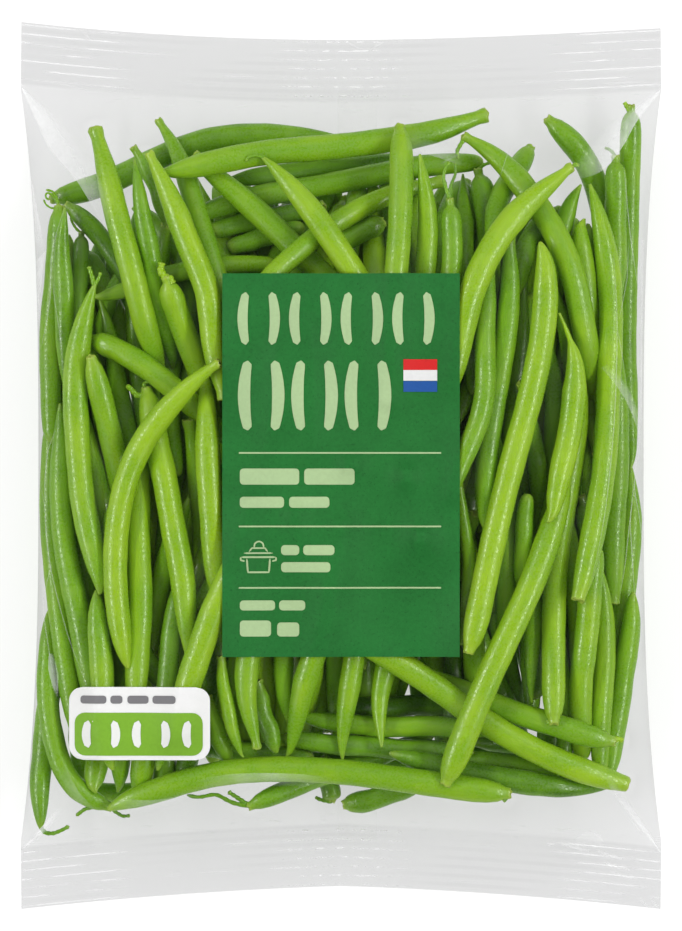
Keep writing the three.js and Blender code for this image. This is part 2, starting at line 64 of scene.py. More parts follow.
# ---- the bag's form
@dataclass(frozen=True)
class BagForm:
    """The filled bag's outline and swell, in millimetres, as in the CAD."""

    waist_half: float = 92.0
    seal_half: float = 97.3
    fill_half: float = 114.0
    end_half: float = 135.0
    edge_dip: float = 5.5
    middle: float = 16.0
    front_rise: float = 31.0
    back_drop: float = 25.0
    seal_thick: float = 0.6
    droop: float = 6.0
    across_power: float = 2.5
    across_root: float = 1.7
    along_power: float = 3.2
    along_root: float = 0.62

    def half_width(self, y: Array) -> Array:
        """Half the width: the waist's, widening with the cube of the way to the seals."""
        share = np.minimum(1.0, np.abs(y) / self.fill_half)
        return self.waist_half + (self.seal_half - self.waist_half) * share**3

    def along(self, y: Array) -> Array:
        """Swell along the bag, 1 in the middle and 0 at the seals."""
        share = np.minimum(1.0, np.abs(y) / self.fill_half)
        return (1.0 - share**self.along_power) ** self.along_root

    def across(self, u: Array) -> Array:
        """Swell across the bag, 1 in the middle and 0 at the sides."""
        return np.maximum(0.0, 1.0 - np.abs(u) ** self.across_power) ** (1 / self.across_root)

    def front(self, x: Array, y: Array) -> Array:
        """Height of the smooth front film at each place."""
        swell = self.along(y) * self.across(x / self.half_width(y))
        return self.middle + self.seal_thick + self.front_rise * swell

    def back(self, x: Array, y: Array) -> Array:
        """Height of the back film, flattened where it lies on the surface."""
        swell = self.along(y) * self.across(x / self.half_width(y))
        return np.maximum(0.0, self.middle - self.seal_thick - self.back_drop * swell)

    def cut_end(self, u: Array) -> Array:
        """How far from the middle each cut end reaches: least in its middle."""
        return self.end_half - self.edge_dip * (1.0 - u * u)

    def meeting(self, y: Array) -> Array:
        """Height of the plane where the two films meet, which sinks past the seals."""
        past = np.maximum(0.0, np.abs(y) - self.fill_half)
        share = past / (self.end_half - self.fill_half)
        return self.middle - self.droop * share**1.4


FORM = BagForm()


# ---- where the beans lie
Line = tuple[float, ...]  # the x and the y of each point by turns, on the view's sheet


def to_plan(line: Line) -> Array:
    """Points of the view's sheet in millimetres, x to the right and y to the bag's top."""
    points = np.array(line, float).reshape(-1, 2)
    across = (points[:, 0] - SHEET_MIDDLE[0]) * SHEET_SCALE
    return np.stack([across, (SHEET_MIDDLE[1] - points[:, 1]) * SHEET_SCALE], axis=1)


class End(Enum):
    """How a bean ends: its width, as a share of the body's, at millimetres from the end."""

    CUT = ((0, 0.60), (0.8, 0.63), (3.0, 0.55), (7.6, 0.67), (12.2, 0.83), (18.0, 0.93), (26.0, 1))
    NECK = ((0, 0.38), (0.7, 0.43), (2.2, 0.36), (4.5, 0.46), (8.5, 0.63), (14.0, 0.82), (22.0, 1))
    SNAP = ((0, 0.42), (0.8, 0.46), (1.8, 0.50), (3.6, 0.74), (6.7, 0.90), (11.0, 1.0))
    BLUNT = ((0, 0.60), (0.8, 0.66), (2.5, 0.70), (5.0, 0.82), (9.0, 0.93), (14.0, 1.0))
    STUB = ((0, 0.36), (0.6, 0.40), (2.2, 0.35), (3.4, 0.70), (5.0, 0.90), (8.0, 1.0))
    HOLLOW = ((0, 0.56), (1.0, 0.57), (3.0, 0.62), (6.0, 0.78), (12.0, 0.95), (18.0, 1.0))
    THUMB = ((0, 0.24), (0.6, 0.50), (2.1, 0.70), (4.5, 0.82), (8.0, 0.90), (18.0, 1.0))
    POINT = ((0, 0.11), (2.4, 0.26), (6.0, 0.46), (10.6, 0.67), (16.7, 0.86), (24.0, 1.0))
    TAIL = ((0, 0.13), (1.5, 0.34), (4.0, 0.56), (8.0, 0.79), (14.0, 0.95), (20.0, 1.0))
    BEAK = ((0, 0.12), (5.0, 0.17), (9.0, 0.22), (12.0, 0.46), (17.0, 0.76), (24.0, 1.0))

    @property
    def raw(self) -> bool:
        """Whether the end is cut or snapped off, so that it shows a pale ragged face."""
        return self in (CUT, NECK, SNAP, BLUNT, STUB, HOLLOW)


CUT, NECK, SNAP, BLUNT, STUB, HOLLOW, THUMB, POINT, TAIL, BEAK = End


@dataclass(frozen=True)
class BeanRow:
    """One bean as it lies behind the film: its line from stem to tail, width and level."""

    line: Line
    width: float
    level: float
    tone: float = 0.5
    stem: End = CUT
    tail: End = TAIL


# In the order of the CAD's nodes bean_01 to bean_45, then those in the inner nodes.
FRONT_ROWS = tuple(BeanRow(*row) for row in (
    ((219, 363, 185, 387, 155, 425, 130, 465, 116, 520, 115, 570, 119, 620, 128, 669), 25, 0.0,
     0.8, NECK),
    ((226, 400, 216, 365, 210, 300, 201, 272, 187, 237, 167, 190, 150, 154), 25, 0.0, 0.8, CUT,
     NECK),
    ((420, 390, 392, 330, 368, 295, 350, 265, 330, 235, 308, 205, 285, 180, 264, 156), 25, 0.0,
     0.75, CUT, POINT),
    ((574, 165, 548, 187, 518, 212, 495, 243, 478, 275, 468, 310, 460, 345, 453, 392), 26, 0.0,
     0.8, NECK),
    ((583, 184, 593, 215, 601, 255, 604, 300, 605, 350, 604, 395, 601, 440, 598, 480, 592, 520,
     585, 560, 574, 602), 25, 0.0, 0.7, POINT, HOLLOW),
    ((468, 653, 480, 605, 489, 560, 498, 520, 510, 475, 522, 430, 532, 390, 540, 350, 546, 310,
     547, 275, 543, 243), 25, 0.0, 0.8, SNAP),
    ((568, 482, 560, 502, 553, 524, 547, 545, 538, 573, 518, 619, 504, 645, 488, 682, 471, 722,
     461, 751, 447, 787), 26, 0.0, 0.75, TAIL, SNAP),
    ((386, 400, 392, 340, 396, 280, 398, 245, 401, 205, 403, 165, 400, 125), 24, 0.0, 0.65, CUT,
     SNAP),
    ((256, 505, 240, 555, 222, 597, 207, 630, 195, 665, 184, 705, 176, 742), 26, 0.2, 0.75),
    ((94, 284, 80, 325, 74, 375, 74, 430, 79, 485, 87, 530, 97, 575, 102, 594), 25, 0.3, 0.65,
     POINT),
    ((87, 337, 110, 347, 140, 362, 165, 380, 185, 397, 203, 415, 240, 450), 24, 0.4, 0.65, STUB),
    ((147, 388, 155, 430, 164, 475, 175, 525, 182, 570, 187, 610, 191, 665), 26, 0.5, 0.75, SNAP,
     POINT),
    ((630, 787, 605, 780, 570, 768, 530, 750, 490, 725, 455, 700, 420, 675, 385, 655, 350, 640),
     25, 0.5, 0.75, BLUNT),
    ((553, 724, 553, 680, 553, 640, 553, 600, 555, 562, 560, 528, 567, 490, 574, 450, 579, 410,
     578, 372, 571, 342), 24, 0.6, 0.7, SNAP, POINT),
    ((511, 797, 455, 790, 400, 781, 345, 775, 290, 769, 235, 770, 185, 782, 142, 797, 108, 806),
     26, 0.6, 0.6, SNAP),
    ((206, 366, 208, 420, 209, 460, 211, 500, 214, 545, 219, 605), 24, 0.35, 0.8, POINT),
    ((150, 430, 142, 462, 139, 500, 141, 560, 141, 610, 139, 660, 136, 722), 24, 0.6, 0.65, NECK),
    ((490, 262, 488, 300, 485, 345, 486, 385, 480, 420, 467, 450, 450, 500), 22, 0.7),
    ((340, 520, 330, 600, 314, 656, 303, 695, 295, 728, 289, 762), 24, 0.8, 0.6, CUT, POINT),
    ((90, 354, 101, 395, 112, 445, 124, 500, 133, 580), 23, 0.8, 0.65, SNAP),
    ((636, 592, 632, 638, 628, 665, 622, 690, 617, 730, 608, 786), 23, 1.5, 0.5, TAIL),
    ((57, 404, 58, 470, 60, 520, 66, 560, 74, 600, 82, 640, 90, 690, 98, 718), 24, 0.9, 0.45,
     POINT),
    ((598, 560, 605, 605, 606, 645, 604, 670, 601, 705, 600, 772), 22, 1.25, 0.6, POINT, THUMB),
    ((98, 590, 99, 620, 101, 650, 105, 700, 112, 770), 24, 0.9, 0.6, TAIL),
    ((96, 130, 112, 190, 130, 265, 146, 325, 163, 377), 24, 1.0, 0.7),
    ((466, 138, 500, 157, 528, 185, 550, 217, 570, 250, 583, 285, 592, 325, 600, 368, 604, 400),
     25, 1.0, 0.6, NECK),
    ((450, 177, 395, 193, 365, 205, 335, 225, 300, 252, 268, 278, 235, 330), 22, 1.0, 0.65),
    ((368, 500, 362, 600, 355, 656, 348, 695, 343, 730, 342, 761), 23, 1.0, 0.65, CUT, POINT),
    ((382, 747, 380, 720, 380, 690, 388, 658, 400, 610, 405, 540), 22, 1.0, 0.6, POINT),
    ((420, 156, 427, 200, 428, 240, 426, 280, 424, 325, 418, 400), 21, 0.6, 0.65, POINT),
    ((450, 200, 452, 235, 452, 265, 449, 310, 440, 420), 21, 1.0, 0.5, STUB),
    ((508, 237, 511, 280, 508, 325, 500, 370, 492, 415, 486, 460, 483, 530), 22, 1.0, 0.45),
    ((616, 156, 616, 200, 617, 240, 615, 285, 611, 340), 23, 1.0, 0.5, STUB, POINT),
    ((617, 340, 619, 390, 618, 430, 617, 470, 616, 510, 613, 550, 614, 604), 22, 1.1, 0.5, POINT,
     HOLLOW),
    ((637, 105, 637, 145, 635, 185, 633, 225, 632, 265, 631, 320, 631, 380, 633, 430, 637, 470),
     21, 1.4, 0.45, STUB, POINT),
    ((48, 425, 48, 520, 50, 560, 55, 600, 61, 640, 69, 690, 76, 740), 22, 1.3, 0.5, THUMB),
    ((58, 206, 56, 250, 51, 300, 48, 340, 47, 390, 48, 445), 22, 1.25, 0.5, SNAP, THUMB),
    ((48, 610, 47, 650, 47, 690, 51, 735, 63, 775, 85, 797, 112, 808), 22, 1.25, 0.5, TAIL, SNAP),
    ((489, 115, 445, 130, 400, 141, 350, 146, 300, 150, 250, 157, 205, 165, 160, 177), 25, 1.1,
     0.6),
    ((557, 480, 547, 525, 538, 565, 533, 620, 531, 670, 531, 703), 21, 1.3, 0.5, THUMB, POINT),
    ((165, 273, 175, 305, 187, 335, 197, 362, 207, 400, 226, 470), 24, 1.2, 0.7, STUB),
    ((66, 208, 63, 250, 65, 300, 66, 345, 68, 400), 20, 0.9, 0.4, POINT, POINT),
    ((266, 520, 256, 600, 249, 656, 246, 690, 252, 720, 258, 748), 23, 1.2, 0.6, CUT, NECK),
    ((596, 545, 592, 580, 587, 620, 583, 660, 580, 700, 582, 762), 24, 1.3, 0.65, THUMB, THUMB),
    ((617, 742, 600, 739, 560, 727, 520, 714, 475, 697, 440, 682, 410, 668), 23, 0.75, 0.55, SNAP),
    ((135, 160, 138, 180, 144, 215, 150, 250, 158, 300, 176, 370), 21, 1.3, 0.4, POINT),
    ((522, 380, 533, 435, 540, 475, 543, 515, 541, 560, 546, 610), 20, 1.4, 0.4),
    ((547, 330, 555, 390, 556, 430, 553, 470, 549, 540), 21, 1.4, 0.35),
    ((490, 420, 503, 480, 508, 540, 508, 580, 505, 610, 500, 650), 20, 1.5, 0.45),
    ((38, 830, 37, 800, 38, 760, 42, 730, 47, 690, 50, 640), 22, 1.5, 0.4, TAIL),
    ((547, 118, 568, 137, 585, 158, 597, 180, 603, 205, 606, 235, 612, 300), 25, 1.6, 0.4, SNAP),
    ((158, 118, 178, 150, 192, 190, 205, 235, 218, 280, 236, 370), 22, 1.6, 0.55, NECK),
    ((193, 156, 222, 183, 250, 205, 278, 233, 300, 253, 322, 275, 350, 300, 392, 370), 24, 1.7,
     0.6),
    ((186, 560, 176, 610, 169, 655, 168, 690, 160, 770), 20, 1.6, 0.4),
    ((612, 785, 590, 787, 545, 784, 500, 778, 455, 770, 390, 752), 24, 1.6, 0.3, POINT),
    ((345, 138, 300, 136, 250, 134, 210, 140, 170, 152, 130, 172, 90, 190, 50, 199), 24, 1.7, 0.4,
     POINT, SNAP),
    ((276, 520, 284, 610, 284, 656, 284, 690, 290, 722), 20, 1.7, 0.4),
    ((66, 205, 85, 220, 102, 238, 118, 260, 140, 300, 180, 340), 20, 1.8, 0.25, SNAP),
    ((276, 264, 235, 265, 205, 268, 175, 275, 95, 300), 19, 1.8, 0.55, THUMB),
    ((554, 280, 568, 345, 573, 380, 573, 412, 573, 520), 19, 1.8, 0.35, POINT),
    ((520, 722, 500, 730, 455, 727, 410, 727, 365, 726, 325, 722, 295, 715), 21, 1.9),
    ((484, 162, 430, 165, 390, 173, 350, 180, 310, 188, 270, 193, 225, 206, 180, 222), 22, 2.0,
     0.5, THUMB),
    ((100, 298, 108, 322, 114, 350, 118, 380, 130, 440, 150, 520), 19, 2.0, 0.45, POINT),
    ((522, 280, 521, 330, 518, 370, 513, 410, 505, 500), 20, 2.0, 0.35),
    ((245, 808, 275, 794, 305, 783, 340, 770, 440, 735), 21, 2.0, 0.4, SNAP),
    ((478, 165, 488, 210, 490, 250, 482, 320, 470, 400), 24, 1.9, 0.35, STUB),
    ((538, 132, 528, 150, 515, 170, 502, 195, 492, 225, 485, 262), 21, 1.5, 0.5, SNAP),
    ((563, 206, 546, 216, 532, 234, 522, 262, 516, 300), 20, 1.9, 0.4, HOLLOW),
    ((581, 186, 571, 203, 563, 225, 557, 250, 553, 290), 20, 1.4, 0.45, POINT),
    ((134, 148, 146, 168, 158, 195, 168, 228), 14, 1.55),
    ((82, 232, 82, 258, 80, 285, 78, 320, 76, 350), 16, 1.6, 0.3, STUB),
    ((124, 270, 115, 290, 106, 312, 100, 345), 17, 2.1, 0.35, THUMB),
    ((527, 494, 524, 525, 522, 560, 524, 600), 18, 1.3, 0.5, THUMB),
    ((458, 480, 464, 520, 469, 560, 468, 600, 462, 645), 15, 1.4, 0.45),
    ((635, 462, 636, 500, 634, 545, 628, 590, 618, 635, 606, 690), 24, 1.7, 0.5, POINT),
    ((343, 806, 370, 801, 395, 793, 430, 778), 22, 2.0, 0.4, SNAP),
    ((333, 803, 330, 785, 325, 755), 20, 2.2, 0.25, STUB),
    ((238, 640, 234, 665, 231, 690, 222, 712), 14, 1.3),
    ((78, 705, 79, 740, 80, 765, 82, 784), 19, 1.5, 0.45),
    ((100, 695, 100, 735, 98, 765, 94, 794), 24, 1.5, 0.55),
    ((123, 695, 122, 735, 121, 765, 119, 793), 24, 1.6, 0.5, CUT, POINT),
    ((146, 695, 145, 735, 143, 768, 140, 800), 24, 1.4, 0.6),
    ((168, 700, 167, 740, 165, 768, 161, 794), 23, 1.8, 0.4, CUT, THUMB),
    ((190, 700, 190, 735, 188, 760, 183, 786), 22, 2.0, 0.35, CUT, THUMB),
    ((66, 785, 95, 792, 130, 795, 165, 790, 215, 772), 20, 2.4, 0.45, THUMB, POINT),
    ((222, 655, 225, 690, 231, 720, 243, 758), 15, 1.2, 0.6, CUT, POINT),
    ((208, 695, 214, 720, 222, 745, 232, 766), 18, 1.9),
    ((258, 680, 264, 715, 272, 735, 277, 753), 20, 1.8, 0.4),
    ((283, 738, 330, 744, 380, 748, 430, 750, 475, 752), 21, 2.0, 0.3, THUMB),
    ((300, 758, 350, 761, 400, 761, 450, 757, 505, 748), 20, 2.6, 0.25),
    ((468, 742, 510, 748, 550, 757, 592, 768), 20, 2.5, 0.25),
    ((405, 160, 340, 167, 280, 174, 225, 182), 20, 2.4, 0.3, THUMB),
    ((325, 207, 290, 215, 250, 223, 210, 232), 22, 2.4, 0.35, CUT, THUMB),
    ((305, 228, 265, 238, 228, 249), 20, 2.2, 0.4, THUMB, THUMB),
    ((385, 222, 355, 235, 322, 250), 24, 1.9, 0.4, SNAP),
    ((562, 640, 566, 690, 566, 735, 562, 790), 18, 1.9, 0.4),
    ((440, 757, 490, 762, 540, 768, 590, 779), 21, 2.1, 0.35, THUMB),
    ((46, 450, 44, 500, 45, 550, 46, 605), 20, 1.4, 0.5, THUMB, POINT),
    ((48, 330, 45, 370, 44, 410, 46, 460), 20, 1.6, 0.45, THUMB, POINT),
    ((561, 314, 571, 335, 579, 360, 581, 388, 578, 415, 573, 448, 568, 480, 563, 505, 562, 524),
     25, -0.4, 0.8, BEAK),
    ((194, 745, 235, 751, 275, 757, 315, 760), 23, 2.5, 0.3, THUMB, THUMB),
    ((340, 706, 380, 709, 420, 706, 468, 706), 22, 2.6, 0.2, THUMB, THUMB),
    ((464, 168, 465, 210, 466, 250, 466, 305), 18, 2.1, 0.4, POINT),
    ((547, 712, 549, 745, 553, 786), 20, 2.2, 0.35, THUMB, THUMB),
    ((568, 300, 564, 350, 561, 390, 560, 430), 17, 2.4, 0.25, THUMB),
    ((118, 630, 123, 690, 126, 745), 22, 2.4, 0.25, THUMB, THUMB),
    ((206, 640, 208, 690, 205, 745), 21, 2.4, 0.25, THUMB, THUMB),
    ((455, 640, 453, 690, 455, 740), 20, 2.4, 0.2, THUMB, THUMB),
    ((536, 600, 537, 650, 536, 700), 20, 2.4, 0.3, THUMB, THUMB),
    ((184, 250, 186, 290, 190, 330, 196, 380), 20, 2.4, 0.25, THUMB, THUMB),
))


@dataclass(frozen=True)
class Stalk:
    """A thin stalk or tendril left on a bean's end, by the bean's number in FRONT_ROWS."""

    bean: int
    line: Line
    width: float
    tone: float = 0.55


STALKS = tuple(Stalk(*row) for row in (
    (35, (637, 106, 634, 108, 631, 104, 628, 101), 5.5, 0.7),
    (33, (616, 157, 613, 152, 609, 149, 605, 148), 3.5, 0.4),
    (50, (38, 830, 43, 836, 52, 836, 61, 832, 68, 828), 4.5, 0.3),
    (65, (244, 808, 228, 805, 219, 800, 212, 795, 203, 797, 195, 799, 184, 796), 4.5, 0.3),
    (65, (214, 797, 210, 791, 207, 786), 5.0, 0.3),
    (77, (335, 806, 330, 805, 322, 803, 317, 800), 4.5, 0.3),
    (15, (509, 797, 508, 801, 504, 803), 6.0, 0.3),
    (38, (124, 809, 128, 814, 133, 818, 139, 817), 4.0, 0.3),
    (38, (66, 792, 58, 794, 53, 798, 50, 807), 4.5, 0.3),
    (26, (467, 138, 462, 145, 458, 152, 459, 160), 4.5, 0.5),
    (31, (450, 201, 446, 190, 443, 178, 446, 167, 450, 163), 4.0, 0.5),
    (31, (460, 205, 459, 190, 463, 178, 461, 166), 3.5, 0.4),
    (37, (60, 207, 57, 199, 52, 193, 47, 192, 46, 197, 50, 200), 2.4, 0.6),
    (37, (56, 205, 49, 206, 44, 203, 42, 198), 2.2, 0.6),
    (37, (62, 206, 60, 197, 55, 190, 48, 189), 3.0, 0.6),
    (71, (82, 233, 77, 229, 73, 223, 71, 217), 3.0, 0.5),
    (71, (83, 233, 88, 227, 95, 225), 3.5, 0.5),
    (10, (94, 286, 92, 277, 89, 267), 5.0, 0.6),
    (10, (97, 286, 101, 279, 103, 273), 4.0, 0.6),
    (12, (142, 393, 138, 398, 133, 398, 129, 392, 124, 387), 6.5, 0.65),
    (12, (143, 395, 141, 388, 146, 384), 5.0, 0.65),
    (41, (166, 276, 161, 270, 163, 262), 8.0, 0.95),
    (41, (166, 276, 171, 277, 174, 283), 7.0, 0.95),
    (45, (614, 742, 619, 739, 624, 741), 6.0, 0.95),
    (66, (487, 172, 490, 166, 496, 163), 4.0, 0.45),
    (4, (574, 166, 579, 163, 582, 165), 5.0, 0.6),
    (3, (264, 157, 256, 155, 248, 157, 246, 162), 3.5, 0.5),
    (14, (553, 724, 549, 726, 546, 722), 5.0, 0.5),
))
SINGLE_NODES = 45
FUSED_NODES = 12


@dataclass(frozen=True)
class Fill:
    """The seeded rule for the beans behind the front ones, as in the CAD."""

    seed: int = 11
    columns: int = 12
    layers: int = 3
    length: float = 95.0
    spread: float = 12.0
    radius: float = 3.55
    level: float = 9.0
    extra: int = 78
    extra_length: float = 84.0
    top: float = 88.0
    bottom: float = 92.0
    narrowing: float = 0.45
    shoulder: float = 45.0
    tones: float = 0.42


class SeededSource:
    """A small seeded random source (mulberry32), the same as the CAD's."""

    def __init__(self, seed: int) -> None:
        """Starts the source from any whole number."""
        self.state = seed & 0xFFFFFFFF

    @staticmethod
    def _times(a: int, b: int) -> int:
        """The low 32 bits of a product."""
        return (a * b) & 0xFFFFFFFF

    def draw(self) -> float:
        """The next number from 0 up to 1."""
        self.state = (self.state + 0x6D2B79F5) & 0xFFFFFFFF
        z = self.state
        z = self._times(z ^ (z >> 15), z | 1)
        z ^= (z + self._times(z ^ (z >> 7), z | 61)) & 0xFFFFFFFF
        return ((z ^ (z >> 14)) & 0xFFFFFFFF) / 4294967296.0


# ---- lines and grids
def distances(plan: Array) -> Array:
    """How far along a line each of its points lies: the sum of the steps before it."""
    return np.concatenate([[0.0], np.cumsum(np.linalg.norm(np.diff(plan, axis=0), axis=1))])


def walk(plan: Array, count: int) -> tuple[Array, Array]:
    """Even steps along a line.

    Args:
        plan: the line's points, x and y.
        count: how many points to take.

    Returns:
        How far along the line each new point lies, and the new points.
    """
    known = distances(plan)
    away = np.linspace(0, known[-1], count)
    return away, np.stack([np.interp(away, known, plan[:, axis]) for axis in (0, 1)], -1)


def soften(points: Array, rounds: int) -> None:
    """Smooths a line in place, its ends held: each point takes (before + 2 itself + after) / 4."""
    for _ in range(rounds):
        points[1:-1] = (points[:-2] + 2 * points[1:-1] + points[2:]) / 4


def headings(line: Array) -> Array:
    """The unit vectors along a line: its gradient over the gradient's own length."""
    way = np.gradient(line, axis=0)
    return way / np.linalg.norm(way, axis=1)[:, None]


def ribbon(line: Array, reach: Array, across: Array) -> Array:
    """A grid about a flat line: the line plus its left-hand normal, times reach and across."""
    way = headings(line)
    side = np.stack([-way[:, 1], way[:, 0]], -1)
    return line[:, None] + side[:, None] * (reach[:, None] * across[None])[..., None]


def around(z: Array) -> Array:
    """The mean of the four neighbours of each inner vertex of a grid."""
    return (z[:-2, 1:-1] + z[2:, 1:-1] + z[1:-1, :-2] + z[1:-1, 2:]) / 4


def between(z: Array, column: Array, row: Array) -> Array:
    """A grid's value between its vertices, by bilinear interpolation.

    Args:
        z: the values, row by row.
        column: where to read, in columns from the first.
        row: where to read, in rows from the first.

    Returns:
        The value at each place.
    """
    c = np.clip(np.floor(column).astype(int), 0, z.shape[1] - 2)
    r = np.clip(np.floor(row).astype(int), 0, z.shape[0] - 2)
    right, up = column - c, row - r
    low = z[r, c] * (1 - right) + z[r, c + 1] * right
    high = z[r + 1, c] * (1 - right) + z[r + 1, c + 1] * right
    return low * (1 - up) + high * up


# ---- packing
def legendre(t: Array, terms: int = 4) -> Array:
    """The first few Legendre polynomials at each t, in the last axis."""
    return np.polynomial.legendre.legvander(np.asarray(t, float), terms - 1)


def girth(share: Array) -> Array:
    """A bean's thickness along its length for contacts: a quarter sine, then a power fall."""
    rise = np.minimum(1.0, share / 0.1)
    fall = np.maximum(0.0, (share - 0.74) / 0.26)
    return (0.34 + 0.66 * np.sin(rise * np.pi / 2)) * (1 - 0.84 * fall**1.7)


@dataclass
class Packing:
    """Every bean's centreline, settled until the beans stay clear of each other.

    A centreline is a cubic in t from -1 at the stem to 1 at the tail, held as four
    Legendre coefficients, so a contact can only slide, turn or gently bend a bean. A front
    bean's own finer bends are four more coefficients, which stay as they are.
    """

    form: BagForm = BagForm(across_power=3.2, across_root=1.9)
    fill: Fill = Fill()
    gap: float = 0.05
    film_gap: float = 0.15
    film_ease: float = 0.06
    layer: float = 6.6
    segments: int = 12
    steps: int = 300
    batches: int = 6
    skin: float = 2.0
    fit_points: int = 24
    end_weight: float = 4.0
    front_ease: Triple = (0.006, 0.006, 0.8)
    firm: float = 0.03
    rank_step: float = 0.1
    crossing: float = 0.9
    crossing_side: float = 0.5
    side: float = 62.0
    yield_flat: tuple[float, ...] = (1.0, 1.0, 0.12, 0.03)
    yield_lift: tuple[float, ...] = (1.0, 1.0, 0.45, 0.12)
    curve: Array = field(init=False)
    bend: Array = field(init=False)
    radius: Array = field(init=False)
    level: Array = field(init=False)
    tone: Array = field(init=False)
    ease: Array = field(init=False)
    ends: list[tuple[End, End]] = field(init=False)

    def __post_init__(self) -> None:
        """Lays out the front rows and the fill at their homes."""
        fill, source = self.fill, SeededSource(self.fill.seed)
        fitted = [self._front_curve(row) for row in FRONT_ROWS]
        bends = [bend for _, bend in fitted]
        laid = [
            (curve, row.width * SHEET_SCALE / 2, row.level, row.tone, (row.stem, row.tail))
            for row, (curve, _) in zip(FRONT_ROWS, fitted)
        ]
        for layer in range(fill.layers):
            for column in range(fill.columns):
                for end in (-1, 1):
                    bean = self._fill_bean(source, layer, column, end)
                    tone = 0.31 + fill.tones * scatter(layer, column, end)
                    laid.append((*bean, fill.level, tone, self._fill_ends(column + layer)))
        for k in range(fill.extra):
            tone = 0.30 + fill.tones * scatter(k, 7 * k, 1)
            laid.append((*self._extra_bean(source), fill.level, tone, self._fill_ends(k)))
        curves, radii, levels, tones, self.ends = (list(part) for part in zip(*laid))
        self.curve = np.array(curves)
        self.bend = np.zeros_like(self.curve)
        self.bend[: len(bends)] = bends
        self.radius, self.level = np.array(radii), np.array(levels, float)
        self.tone = np.array(tones)
        front = np.arange(len(radii)) < len(FRONT_ROWS)
        self.ease = np.where(front[:, None], np.array(self.front_ease)[None], 1.0)

    @staticmethod
    def _fill_ends(k: int) -> tuple[End, End]:
        """The stem's and the tail's kinds of a bean of the fill, by its number."""
        stems = (SNAP, CUT, STUB, NECK, THUMB)
        return stems[k % len(stems)], (TAIL, POINT)[k % 2]

    def _front_curve(self, row: BeanRow) -> tuple[Array, Array]:
        """Fits the coefficients to a row's smoothed line by least squares over its arc length.

        Args:
            row: the bean's row.

        Returns:
            Four coefficients of three coordinates, and four more for its finer bends.
        """
        plan = to_plan(row.line)
        known = distances(plan) / np.linalg.norm(np.diff(plan, axis=0), axis=1).sum() * 2 - 1
        t = np.linspace(-1, 1, self.fit_points)
        plan = np.stack([np.interp(t, known, plan[:, axis]) for axis in (0, 1)], axis=-1)
        soften(plan, 3)
        weight = np.ones(len(t))
        weight[[0, -1]] = self.end_weight
        basis = legendre(t, 8)
        flat = np.linalg.lstsq(basis * weight[:, None], plan * weight[:, None], rcond=None)[0]
        bend = np.concatenate([flat[4:], np.zeros((4, 1))], axis=1)
        flat = flat[:4]
        t = np.linspace(-1, 1, 9)
        spots = legendre(t) @ flat
        radius = row.width * SHEET_SCALE / 2
        lip = self.form.front(spots[:, 0], spots[:, 1]) - self.film_gap - radius
        top = lip[len(lip) // 2]
        z = np.minimum(top, lip + 4) - row.level * self.layer
        z = np.maximum(z, radius + self.film_gap)
        rise = np.polynomial.polynomial.polyfit(t, z, 2)
        bow = rise[2] * 2 / 3
        height = np.array([rise[0] + rise[2] / 3, rise[1], bow, 0.0])
        return np.concatenate([flat, height[:, None]], axis=1), bend

    def coefficients(self, k: int) -> Array:
        """All eight coefficients of a bean's centreline."""
        return np.concatenate([self.curve[k], self.bend[k]])

    def lines(self, t: Array) -> Array:
        """Every bean's centreline at each t."""
        both = np.concatenate([self.curve, self.bend], axis=1)
        return np.einsum("sj,njk->nsk", legendre(t, 8), both)

    @staticmethod
    def _bowed(middle: Triple, length: float, angle: float, bow: float) -> Array:
        """The coefficients of a level bean that bows to one side by a parabola.

        Args:
            middle: x, y and z halfway between its ends.
            length: from end to end.
            angle: its turn from the bag's length, in radians.
            bow: how far its middle stands off the straight line.

        Returns:
            Four coefficients of three coordinates.
        """
        x, y, z = middle
        dx, dy = math.sin(angle) * length / 2, math.cos(angle) * length / 2
        stem, tail = np.array([x - dx, y - dy, z]), np.array([x + dx, y + dy, z])
        centre = np.array([x + math.cos(angle) * bow, y - math.sin(angle) * bow, z])
        lift = (stem + tail) / 2 - centre
        return np.array([centre + lift / 3, (tail - stem) / 2, lift * 2 / 3, np.zeros(3)])

    def _fill_bean(
        self, source: SeededSource, layer: int, column: int, end: int
    ) -> tuple[Array, float]:
        """One bean of the fill: drawn in the same order as the CAD draws it.

        Args:
            source: the random source.
            layer: 0 at the back.
            column: across the bag.
            end: -1 for the lower half of the bag, 1 for the upper.

        Returns:
            Its coefficients and its radius.
        """
        fill, form = self.fill, self.form
        length = fill.length * (0.86 + 0.28 * source.draw())
        across = (column + 0.5 + 0.5 * (source.draw() - 0.5)) / fill.columns
        x = (2 * across - 1) * (form.waist_half - 8)
        y = end * (form.fill_half - 20 - length / 2) * (0.9 + 0.1 * source.draw())
        spread = (source.draw() + source.draw() + source.draw() - 1.5) * fill.spread * 1.6
        angle = math.radians(spread + (0 if source.draw() < 0.5 else 180))
        z = 5.2 + layer * 7.6 + 2 * source.draw()
        bow = (source.draw() - 0.5) * 16
        radius = fill.radius * (0.9 + 0.2 * source.draw())
        return self._bowed((x, y, z), length, angle, bow), radius

